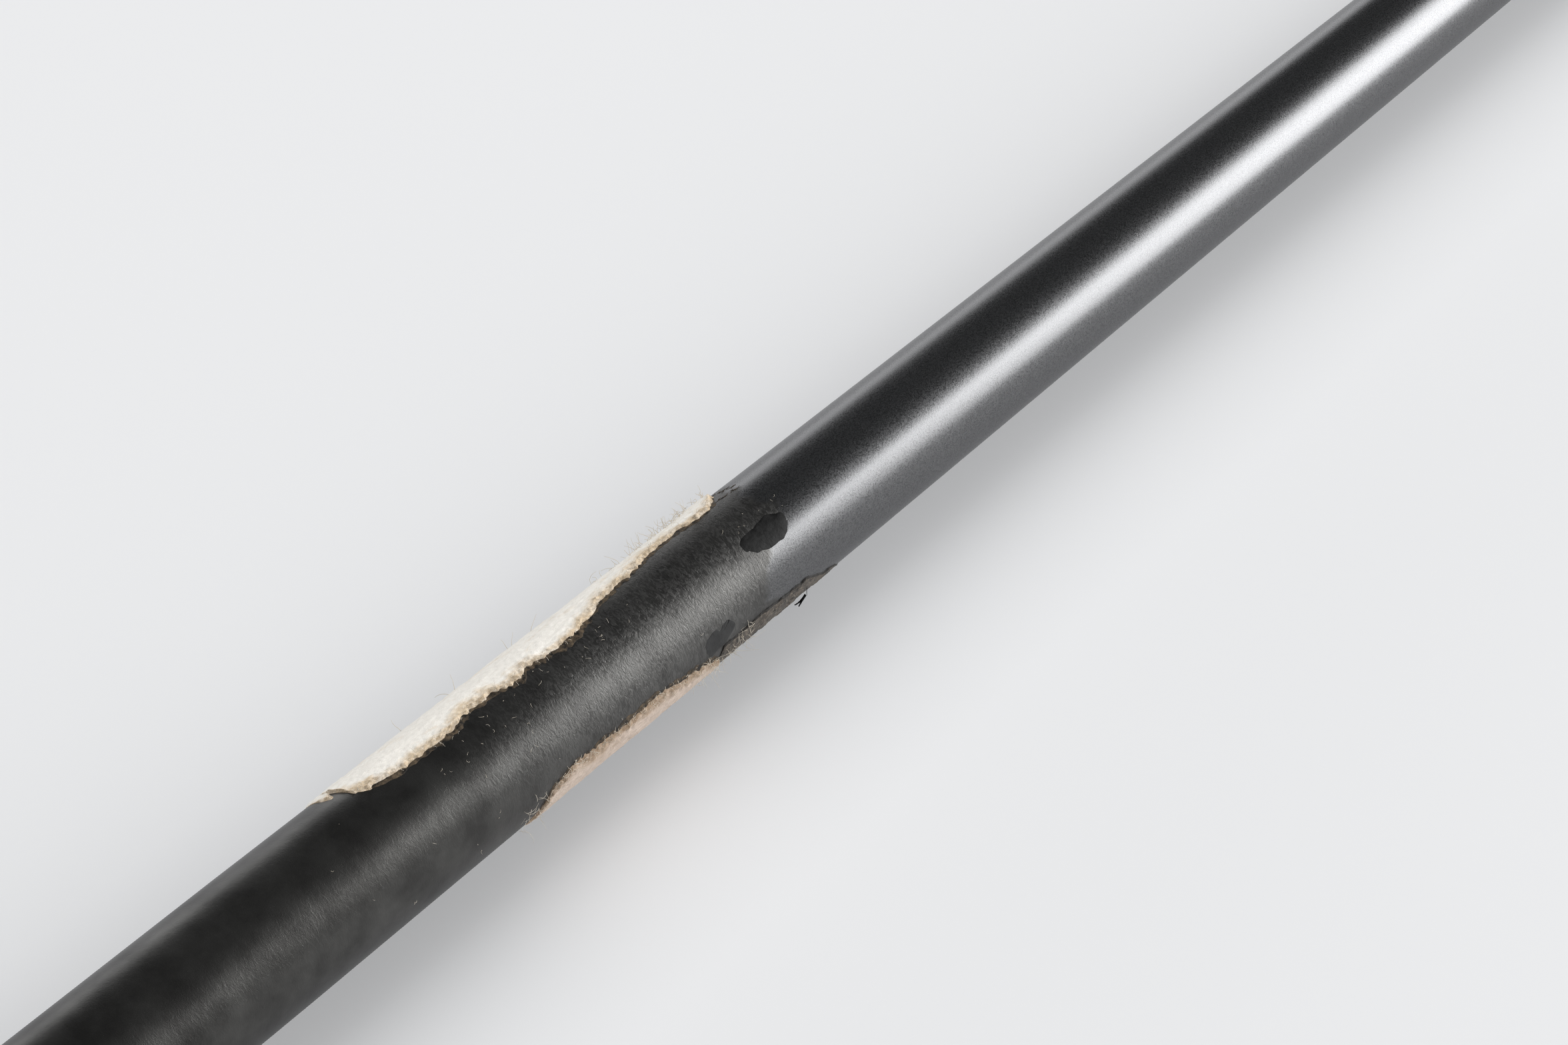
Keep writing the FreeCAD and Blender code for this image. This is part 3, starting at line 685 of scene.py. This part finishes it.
def paper(rng):
    """The two strips of torn paper."""
    pale = paper_look("torn_paper", (0.94, 0.905, 0.84), (0.74, 0.60, 0.43))
    top = strip("label_paper_top", rng, TOP_EDGE, -60, 0.36, 0.16, 1.3, 0.16)
    dress(top, pale, "old_paper", "label_strip_top")
    # The side strip's paper is darker than the top strip's: partly tan stain, partly painted shade on
    # the shaft's lower side.
    stained = paper_look("stained_and_shaded_paper", (0.62, 0.51, 0.43), (0.42, 0.31, 0.22))
    side = strip("label_paper_side", rng, SIDE_EDGE, 138, 0.30, 0.14, 1.3)
    dress(side, stained, "old_paper", "label_strip_side")


def glue(rng, dirt_and_shade, smooth):
    """Dirty glue with painted shadow along the strips, the film past the side strip, and two blotches.
    """
    # The two fringes are dark sheets: dirty glue, and a painted shadow under each strip's raised torn
    # edge.
    dress(fringe("glue_and_shadow_fringe_top", rng, TOP_EDGE, 1, 0.55, 316.5, 374), dirt_and_shade, "old_adhesive")
    dress(fringe("glue_and_shadow_fringe_side", rng, SIDE_EDGE, -1, 0.5, 332.6, 361.8), dirt_and_shade, "old_adhesive")
    dress(film_piece(rng), film_look(), "old_adhesive", "adhesive_film")
    thin = blotch_look("thin_glue", (0.026, 0.026, 0.026), (0.045, 0.045, 0.045))
    dress(patch("glue_blotch_large", rng, LARGE_BLOTCH), smooth, "old_adhesive")
    dress(patch("glue_blotch_small", rng, SMALL_BLOTCH), thin, "old_adhesive")


def loose_fibres(rng):
    """Fuzz and hairs of the torn paper, and lint stuck to the dull paint."""
    hair = Look("paper_fibre", Roughness=0.8, Specular_IOR_Level=0.3)
    tone = hair.noise(1.5, 2)
    hair.set("Base Color", hair.between(tone, (0.84, 0.79, 0.71), (0.62, 0.53, 0.40)))

    def grow(name, distance, around, lift, lean, lengths, curl, thick):
        """Dressed hairs whose lengths lie between two lengths."""
        lengths = rng.uniform(*lengths, len(distance))
        piece = fuzz(name, rng, distance, around, lift, lean, lengths, curl, thick)
        dress(piece, hair, "old_paper")

    s = rng.uniform(314, 374, 260)
    a = np.interp(s, *zip(*TOP_EDGE)) - rng.uniform(0, 7, 260)
    grow("paper_nap_inner", s, a, 0.7, 1.0, (0.3, 0.9), curl=1.6, thick=0.022)

    s = 375 - 19 * rng.beta(1.2, 2.0, 90)
    a = rng.uniform(-60, -44, 90)
    grow("paper_hairs_top", s, a, 1.3, 0.6, (0.6, 2.1), curl=1.4, thick=0.034)

    s = np.array([334.0, 334.8, 343.0, 343.6, 346.5, 326.9, 356.3, 357.1])
    grow("paper_hairs_stray", s, np.full(8, -53.0), 1.4, 0.4, (1.2, 2.2), curl=1.2, thick=0.034)

    s = rng.uniform(332, 362, 240)
    a = np.interp(s, *zip(*SIDE_EDGE)) + rng.uniform(-2, 8, 240)
    grow("paper_nap_side", s, a, 0.6, 1.0, (0.3, 1.0), curl=1.6, thick=0.024)

    s = np.concatenate([rng.uniform(357, 367, 64), rng.uniform(329, 336, 26)])
    a = rng.uniform(90, 120, 90)
    grow("paper_wisps_side", s, a, 0.4, 1.0, (0.8, 2.6), curl=1.5, thick=0.022)

    s = np.concatenate([rng.uniform(322, 352, 34), rng.uniform(368, 378, 9),
                        rng.uniform(300, 360, 30)])
    a = np.concatenate([rng.uniform(3, 26, 34), rng.uniform(5, 25, 9),
                        rng.uniform(-20, 100, 30)])
    grow("lint", s, a, 0.1, 1.0, (0.15, 0.7), curl=2.5, thick=0.018)


def flake(rng, smooth):
    """A chip of glue that hangs from the film's edge on a thread."""
    distance, around = 376.8, 112.0
    thread_length, thread_heading = 0.8, (-0.60, -0.20, -0.77)
    chip_lengths, chip_heading = (1.7, 1.5, 1.2), (-0.74, 0.05, -0.66)
    root = on_shaft(distance, around, shaft_radius(distance) + 0.1)
    down = np.array(thread_heading) / np.linalg.norm(thread_heading)
    thread = fibres("flake_thread", rng, [root], [down], [thread_length], 0.3, 0.05)
    dress(thread, smooth, "old_adhesive")
    tip = root + down * (thread_length - 0.05) * MM
    swung = np.array([chip_heading]) + 0.04 * rng.normal(size=(3, 3))
    chips = fibres("hanging_flake", rng, [tip] * 3, swung, chip_lengths, 0.15, 0.15)
    dress(chips, smooth, "old_adhesive", "loose_flake")


def scuffs(rng, dirt_and_shade):
    """Dark flecks in two rows past the end of the top strip."""
    high, low = rng.uniform(0, 1, 24), rng.uniform(0, 1, 20)
    s = np.concatenate([374.4 + 2.3 * high, 373.6 + 2.9 * low])
    a = np.concatenate([-41 + 15 * high, -23 + 3 * low]) + rng.normal(0, 0.8, len(s))
    lengths = rng.uniform(0.25, 0.8, len(s))
    flecks = fuzz("glue_scuffs", rng, s, a, 0.0, 0.1, lengths, 0.1, 0.035, 0.01)
    dress(flecks, dirt_and_shade, "old_adhesive")


def remnants():
    """The paper, glue and fuzz on the bare shaft."""
    rng = np.random.default_rng(11)
    dirt_and_shade = fringe_look()
    smooth = blotch_look("smooth_glue", (0.005, 0.005, 0.005), (0.017, 0.017, 0.017))
    paper(rng)
    glue(rng, dirt_and_shade, smooth)
    loose_fibres(rng)
    flake(rng, smooth)
    scuffs(rng, dirt_and_shade)


# ------------------------------------------------------------ grip, end cap and ferrule


def turned_piece(name, outline, segments, relief=None):
    """A turned piece from an outline of (radius, distance) corners, as a closed surface."""
    radius, distance = (np.array(v, float)[:, None] for v in zip(*outline))
    around = np.linspace(-180, 180, segments, endpoint=False)[None, :]
    radius = radius + 0 * around
    if relief is not None:
        radius = radius + relief(distance, around, radius)
    return ring_surface(name, on_shaft(distance + 0 * around, around, radius))


GRIP_PITCH = 5.2
DIAMONDS_ROUND = 16
DIAMOND_SLOPE = 0.62
PANEL_PITCH = 62
GROOVE_WIDTH = 0.9
GROOVE_DEPTH = 0.45


def grip_relief(distance, around, radius):
    """Moulded diamonds between smooth bands, with two plain lines along the grip."""
    arc = around / 360 * DIAMONDS_ROUND * GRIP_PITCH
    depth = 0
    for slope in (DIAMOND_SLOPE, -DIAMOND_SLOPE):
        offset = np.mod(arc + slope * distance, GRIP_PITCH) - GRIP_PITCH / 2
        depth = np.maximum(depth, 1 - eased(np.abs(offset), 0.2, GROOVE_WIDTH))
    rows = np.mod(distance, PANEL_PITCH)
    panel = eased(rows, 5, 7) * (1 - eased(rows, 58, 60))
    from_line = np.abs(np.abs(around) - 90)
    line = 1 - eased(from_line, 5, 7)
    whole = eased(distance, 16, 19) * (1 - eased(distance, 246, 250))
    pattern = depth * panel * (1 - line) * whole
    edge = (1 - eased(np.abs(rows - 4), 0.2, 0.8)) + (1 - eased(np.abs(rows - 1.5), 0.2, 0.8))
    rings = np.clip(edge, 0, 1) * whole
    stripe = (1 - eased(np.abs(from_line - 4), 0.4, 1.2)) * panel * whole
    mouth = 0.7 * (1 - eased(np.abs(distance - 259), 0.3, 0.9))
    skin = eased(radius, 8.4, 8.8)
    return -GROOVE_DEPTH * skin * np.clip(pattern + rings + 0.6 * stripe + mouth, 0, 1)


def rubber_look():
    """Moulded black rubber, slightly mottled."""
    look = Look("moulded_rubber", Specular_IOR_Level=0.4)
    mottle = look.span(look.noise(9, 4, 0.6), 0.3, 0.7)
    look.set("Base Color", look.between(mottle, (0.017, 0.017, 0.018), (0.034, 0.034, 0.036)))
    look.set("Roughness", look.span(look.noise(3, 4), 0.3, 0.7, 0.62, 0.8))
    skin = look.bump(look.noise(1.2, 3), 0.04)
    look.set("Normal", look.bump(look.noise(0.25, 3, 0.7), 0.05, skin))
    return look


def grip_sleeve():
    """The grip, its taper smoothed and its moulded pattern pressed in."""
    step, spread = 0.42, 20
    stops, radii = profile_of("grip_body")
    top, end = stops[0], stops[-1]
    along = np.arange(top, end, step)
    taper = np.interp(along, stops, radii)
    window = np.hanning(2 * spread + 1)
    padded = np.concatenate([np.full(spread, taper[0]), taper, np.full(spread, taper[-1])])
    smooth = np.minimum(np.convolve(padded, window / window.sum(), "valid"), taper + 0.05)
    bore = float(profile_of("grip_body", inner=True)[1][-1])
    outline = list(zip(smooth, along)) + [(float(radii[-1]), end)]
    outline += [(bore, end)] + [(bore, s) for s in np.linspace(end, top, 30)[1:]]
    return turned_piece("grip_sleeve", outline, 288, grip_relief)


def grip_cap():
    """The cap on the grip's end, with rings round its vent hole and a rounded rim."""
    radii = profile_of("grip_end_cap")[1]
    rim, vent = float(radii.max()), float(profile_of("grip_end_cap", inner=True)[1].min())
    rounding, groove = 1.4, 0.35
    outline = [(vent, CAP_THICKNESS), (vent, 0.5), (vent + 0.5, 0.0)]
    for ring in (4.2, 6.4, 10.6):
        outline += [(ring - 0.45, 0.0), (ring - 0.3, groove), (ring + 0.3, groove), (ring + 0.45, 0.0)]
    for a in np.linspace(0, math.pi / 2, 9):
        outline.append((rim - rounding + rounding * math.sin(a), rounding - rounding * math.cos(a)))
    outline += [(rim, CAP_THICKNESS), (vent + 2, CAP_THICKNESS)]
    return turned_piece("grip_cap", outline, 160)


def handle():
    """The grip and the cap on its end."""
    rubber = rubber_look()
    dress(grip_sleeve(), rubber, "grip_rubber", "grip_body")
    dress(grip_cap(), rubber, "cap_rubber", "grip_end_cap")


def ferrule_plastic_look():
    """Polished black plastic."""
    look = Look("polished_plastic", Specular_IOR_Level=0.5, Coat_Weight=0.4, Coat_Roughness=0.08)
    tone = look.noise(2.5, 3)
    look.set("Base Color", look.between(tone, (0.006, 0.006, 0.007), (0.016, 0.016, 0.018)))
    look.set("Roughness", look.span(look.noise(1.2, 4), 0.3, 0.7, 0.16, 0.28))
    look.set("Normal", look.bump(look.noise(0.5, 3), 0.006))
    return look


def ferrule_ring_look():
    """Bright metal with fine marks round the shaft."""
    look = Look("bright_ring", Metallic=1.0)
    marks = look.noise(0.12, 2, 0.6, look.stretched(0.1, 3.0))
    look.set("Base Color", look.between(marks, (0.62, 0.62, 0.63), (0.80, 0.80, 0.81)))
    look.set("Roughness", look.span(marks, 0.3, 0.7, 0.18, 0.34))
    look.set("Normal", look.bump(marks, 0.01))
    return look


def ferrule_piece():
    """The ferrule, which swells towards the hosel, and two rings let into it."""
    stops, radii = profile_of("ferrule")
    inner = float(profile_of("ferrule", inner=True)[1].min())
    low, high = float(radii[0]), float(radii.max())
    start, end = stops[0], stops[-1]
    band, half_ring, groove = 5.0, 0.45, 0.22
    rings = (end - 4.0, end - 1.6)
    along = np.linspace(start, end - band, 60)
    share = (along - start) / (end - band - start)
    swell = low + (high - low) * (0.35 * share + 0.65 * share**2.2)
    swell = np.minimum(swell, np.interp(along, stops, radii))
    outline = [(inner, start), (low - 0.18, start)] + list(zip(swell[1:], along[1:]))
    for ring in rings:
        outline += [(high, ring - 0.6), (high - groove, ring - half_ring),
                    (high - groove, ring + half_ring), (high, ring + 0.6)]
    outline += [(high, end - 0.15), (high - 0.15, end), (inner, end)]
    barrel = turned_piece("ferrule_barrel", outline, 128)
    dress(barrel, ferrule_plastic_look(), "ferrule_plastic", "ferrule")

    metal = ferrule_ring_look()
    for number, ring in enumerate(rings, start=1):
        half = [(high - 0.20, 0.4), (high - 0.05, 0.36), (high - 0.02, 0.2)]
        outline = [(r, ring - d) for r, d in half] + [(r, ring + d) for r, d in half[::-1]]
        outline += [(high - 0.6, ring + 0.4), (high - 0.6, ring - 0.4)]
        dress(turned_piece(f"ferrule_ring_{number}", outline, 128), metal, "ferrule_plastic")


# ------------------------------------------------------------ the head

TOE = (middle("toe_bar") - middle("heel_bar")).normalized()


def up_face():
    """Along the bars, which stand parallel to the face."""
    points = points_of("toe_bar")
    points = points - points.mean(0)
    direction = Vector(np.linalg.eigh(points.T @ points)[1][:, -1])
    direction = (direction - TOE * direction.dot(TOE)).normalized()
    away_from_sole = middle("crown") - middle("sole_badge")
    return direction if direction.dot(away_from_sole) > 0 else -direction


UP_FACE = up_face()
FACE_OUT = UP_FACE.cross(TOE).normalized()
HEAD_UP = (TOE * AXIS.dot(TOE) - AXIS).normalized()
CROWN_TONES = ((0.007, 0.007, 0.008), (0.016, 0.016, 0.019))
CROWN_ROUGHNESS = 0.14
SCORE_LINES = 9
SCORE_PITCH = 3.2
SCORE_DEPTH = 0.3
SCORE_WIDTH = 0.7
SCORE_HALF = 22.0
SCORE_DROP = 1.0


def score_cutter(tree, centre, height, half, paint):
    """A bar that follows the face's bulge, a groove's depth below it."""
    steps = 25
    clear, reach = 80 * MM, 200 * MM
    w, d = UP_FACE * (SCORE_WIDTH / 2 * MM), FACE_OUT * (SCORE_DEPTH * MM)
    floor_share, end_share = 0.55, 0.25
    rows = []
    for k in range(steps):
        across = -half + 2 * half * k / (steps - 1)
        start = centre + TOE * across * MM + UP_FACE * height * MM + FACE_OUT * clear
        hit = tree.ray_cast(start, -FACE_OUT, reach)[0]
        if hit is None:
            continue
        sunk = d * (end_share if k in (0, steps - 1) else 1.0)
        rows.append([hit - w + d, hit - w * floor_share - sunk,
                     hit + w * floor_share - sunk, hit + w + d])
    rows = np.array([[list(p) for p in row] for row in rows])
    index = np.arange(len(rows) * 4).reshape(-1, 4)
    side = quads_of(np.hstack([index, index[:, :1]]))
    caps = np.array([index[0, ::-1], index[-1]])
    cutter = linked("score_cutter", rows.reshape(-1, 3), np.concatenate([side, caps]))
    outward(cutter.data)
    cutter.data.materials.append(paint)
    return cutter


def forget_normals(mesh):
    """Drops the normals that came with the mesh, which don't fit once it is cut."""
    layer = mesh.attributes.get("custom_normal")
    if layer is not None:
        mesh.attributes.remove(layer)


def scored_face(steel, paint):
    """The face cup with its score lines cut in."""
    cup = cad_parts["face_cup"]
    face = bpy.data.objects.new("face_cup_scored", cup.data.copy())
    scene.collection.objects.link(face)
    face.data.materials.clear()
    face.data.materials.append(steel.material)
    form = bmesh.new()
    form.from_mesh(face.data)
    bmesh.ops.remove_doubles(form, verts=form.verts, dist=0.002 * MM)
    form.to_mesh(face.data)
    tree = BVHTree.FromBMesh(form)
    form.free()
    forget_normals(face.data)
    centre = (middle("toe_bar") + middle("heel_bar")) / 2
    cutters = []
    for line in range(SCORE_LINES):
        height = (line - (SCORE_LINES - 1) / 2) * SCORE_PITCH
        half = SCORE_HALF - (0.35 * line if line > SCORE_LINES - 3 else 0)
        cutters.append(score_cutter(tree, centre, height - SCORE_DROP, half, paint.material))
    for cutter in cutters:
        cut = face.modifiers.new("score", "BOOLEAN")
        cut.operation = "DIFFERENCE"
        cut.solver = "EXACT"
        cut.object = cutter
    bpy.context.view_layer.update()
    evaluated = face.evaluated_get(bpy.context.evaluated_depsgraph_get())
    finished = bpy.data.meshes.new_from_object(evaluated)
    face.modifiers.clear()
    face.data = finished
    for cutter in cutters:
        bpy.data.objects.remove(cutter)
    outward(finished)
    forget_normals(finished)
    finished.shade_smooth()
    finished.set_sharp_from_angle(angle=math.radians(25))
    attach(face, "root")
    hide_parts("face_cup")


def keep(node, look):
    """A CAD node that stays as it is, with a better material."""
    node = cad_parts[node]
    node.data.materials.clear()
    node.data.materials.append(look.material)


def face_looks():
    """Blasted steel for the face, and pale paint in its score lines."""
    steel = Look("blasted_steel", Metallic=1.0)
    grit = steel.noise(0.3, 4, 0.7)
    wear = steel.span(steel.noise(7, 4, 0.6), 0.45, 0.7)
    steel.set("Base Color", steel.between(wear, (0.24, 0.24, 0.25), (0.40, 0.40, 0.41)))
    steel.set("Roughness", steel.span(grit, 0.3, 0.7, 0.34, 0.52))
    steel.set("Normal", steel.bump(grit, 0.02))
    paint = Look("score_paint", Roughness=0.5)
    tone = paint.noise(0.8, 3)
    paint.set("Base Color", paint.between(tone, (0.55, 0.55, 0.55), (0.74, 0.74, 0.73)))
    paint.set("Normal", paint.bump(paint.noise(0.3, 2), 0.02))
    return steel, paint


def body_look():
    """Satin flake paint on the sole, hosel and skirt, and gloss black above the skirt."""
    skirt = float((points_of("crown") @ np.array(HEAD_UP)).min())
    look = Look("coated_body", Specular_IOR_Level=0.5)
    inputs = {0: look.place, 1: HEAD_UP}
    above = look.add("ShaderNodeVectorMath", inputs, operation="DOT_PRODUCT").outputs["Value"]
    painted = look.span(above, skirt - 0.1 * MM, skirt + 0.1 * MM)
    tone = look.span(look.noise(12, 4, 0.55), 0.4, 0.8)
    satin = look.between(look.cells(0.16), (0.10, 0.102, 0.106), (0.15, 0.152, 0.158))
    satin = look.between(look.times(tone, 0.4), satin, (0.09, 0.091, 0.094))
    gloss = look.between(look.cells(0.14), *CROWN_TONES)
    look.set("Base Color", look.between(painted, satin, gloss))
    look.set("Metallic", look.span(painted, 0, 1, 0.95, 0.0))
    worn = look.span(look.noise(2.5, 4), 0.3, 0.7, 0.28, 0.40)
    look.set("Roughness", look.blend(painted, worn, CROWN_ROUGHNESS))
    look.set("Normal", look.bump(look.noise(0.35, 3), 0.006))
    return look


def crown_look():
    """Gloss black paint under a clear coat."""
    look = Look("gloss_crown_paint", Specular_IOR_Level=0.5, Coat_Weight=0.6, Coat_Roughness=0.05)
    swirls = look.noise(1.5, 4)
    smooth, rough = CROWN_ROUGHNESS - 0.03, CROWN_ROUGHNESS + 0.04
    look.set("Base Color", look.between(look.cells(0.14), *CROWN_TONES))
    look.set("Roughness", look.span(swirls, 0.3, 0.7, smooth, rough))
    look.set("Normal", look.bump(look.noise(3.5, 2), 0.004))
    return look


def badge_look():
    """Brushed aluminium, anodised blue."""
    look = Look("anodised_blue", Metallic=1.0)
    brushed = look.noise(0.25, 4, 0.7, look.stretched(3.0, 0.4))
    look.set("Base Color", look.between(brushed, (0.012, 0.10, 0.30), (0.04, 0.22, 0.52)))
    look.set("Roughness", look.span(brushed, 0.3, 0.7, 0.22, 0.42))
    look.set("Normal", look.bump(brushed, 0.012))
    return look


def inner_look(name, low, high, metallic, rough):
    """A plain material with a slight grain, for a piece inside the club."""
    look = Look(name, Metallic=metallic)
    grain = look.span(look.noise(0.8, 4, 0.6), 0.3, 0.7)
    look.set("Base Color", look.between(grain, low, high))
    look.set("Roughness", look.span(grain, 0, 1, rough - 0.08, rough + 0.08))
    look.set("Normal", look.bump(look.noise(0.4, 3), 0.02))
    return look


def head():
    """The head's looks, its scored face, and the pieces inside the club."""
    scored_face(*face_looks())
    keep("head_body", body_look())
    keep("crown", crown_look())
    keep("sole_badge", badge_look())
    inner = (
        ("grip_tape", "paper_tape", (0.46, 0.42, 0.34), (0.60, 0.56, 0.48), 0, 0.85),
        ("badge_tape", "foam_tape", (0.70, 0.70, 0.68), (0.82, 0.82, 0.80), 0, 0.8),
        ("hosel_epoxy", "cured_epoxy", (0.36, 0.33, 0.27), (0.48, 0.45, 0.38), 0, 0.3),
        ("tip_weight", "turned_brass", (0.55, 0.42, 0.18), (0.70, 0.56, 0.27), 1, 0.3),
        ("heel_bar", "bare_steel_heel", (0.42, 0.42, 0.43), (0.58, 0.58, 0.59), 1, 0.35),
        ("toe_bar", "bare_steel_toe", (0.42, 0.42, 0.43), (0.58, 0.58, 0.59), 1, 0.35),
        ("internal_weight", "sintered_tungsten", (0.18, 0.18, 0.18), (0.30, 0.30, 0.29), 1, 0.55),
        ("hot_melt_pad", "hot_melt_glue", (0.62, 0.50, 0.30), (0.76, 0.66, 0.46), 0, 0.4),
    )
    for node, *settings in inner:
        keep(node, inner_look(*settings))


# ------------------------------------------------------------ floor and light


def area_light(name, direction, distance, size, power):
    """A soft panel that faces the camera's aim from a direction."""
    data = bpy.data.lights.new(name, "AREA")
    data.shape = "RECTANGLE"
    data.size, data.size_y = size
    data.energy = power
    light = bpy.data.objects.new(name, data)
    scene.collection.objects.link(light)
    direction = Vector(direction).normalized()
    light.location = AIM + direction * distance
    light.rotation_euler = direction.to_track_quat("Z", "Y").to_euler()
    light.visible_camera = False
    return light


def toward(azimuth, elevation):
    """A direction from an azimuth off +X and an elevation, in degrees."""
    a, e = math.radians(azimuth), math.radians(elevation)
    return math.cos(e) * math.cos(a), math.cos(e) * math.sin(a), math.sin(e)


def studio_floor():
    """The plain pale floor."""
    size, steps = 40.0, 41
    ticks = np.linspace(-size / 2, size / 2, steps)
    x, y = np.meshgrid(ticks, ticks, indexing="ij")
    points = np.stack([x, y, 0 * x], axis=-1).reshape(-1, 3)
    index = np.arange(steps * steps).reshape(steps, steps)
    floor = linked("floor", points, quads_of(index)[:, ::-1])
    paint = Look("pale_floor", Roughness=0.6, Specular_IOR_Level=0.3)
    tone = paint.noise(220, 2)
    paint.set("Base Color", paint.between(tone, (0.83, 0.835, 0.845), (0.85, 0.855, 0.865)))
    floor.data.materials.append(paint.material)


def studio_lights():
    """A dim even surround, a panel each side of the shaft, and one overhead."""
    world = bpy.data.worlds.new("studio")
    world.use_nodes = True
    surround = world.node_tree.nodes["Background"].inputs
    surround["Color"].default_value = (0.95, 0.97, 1.0, 1)
    surround["Strength"].default_value = 0.10
    scene.world = world
    area_light("key_panel", toward(-33, 14.8), 3.6, (1.98, 1.94), 120)
    area_light("far_panel", toward(66, 9), 4.4, (5.2, 1.32), 50)
    overhead = area_light("overhead_fill", (0, 0, 1), 5.0, (12.0, 12.0), 462)
    overhead.visible_glossy = False


dress(shaft_piece(np.random.default_rng(5)), shaft_look(), "graphite_paint", "shaft")
remnants()
handle()
ferrule_piece()
head()
studio_floor()
studio_lights()
scene.view_settings.view_transform = "Standard"
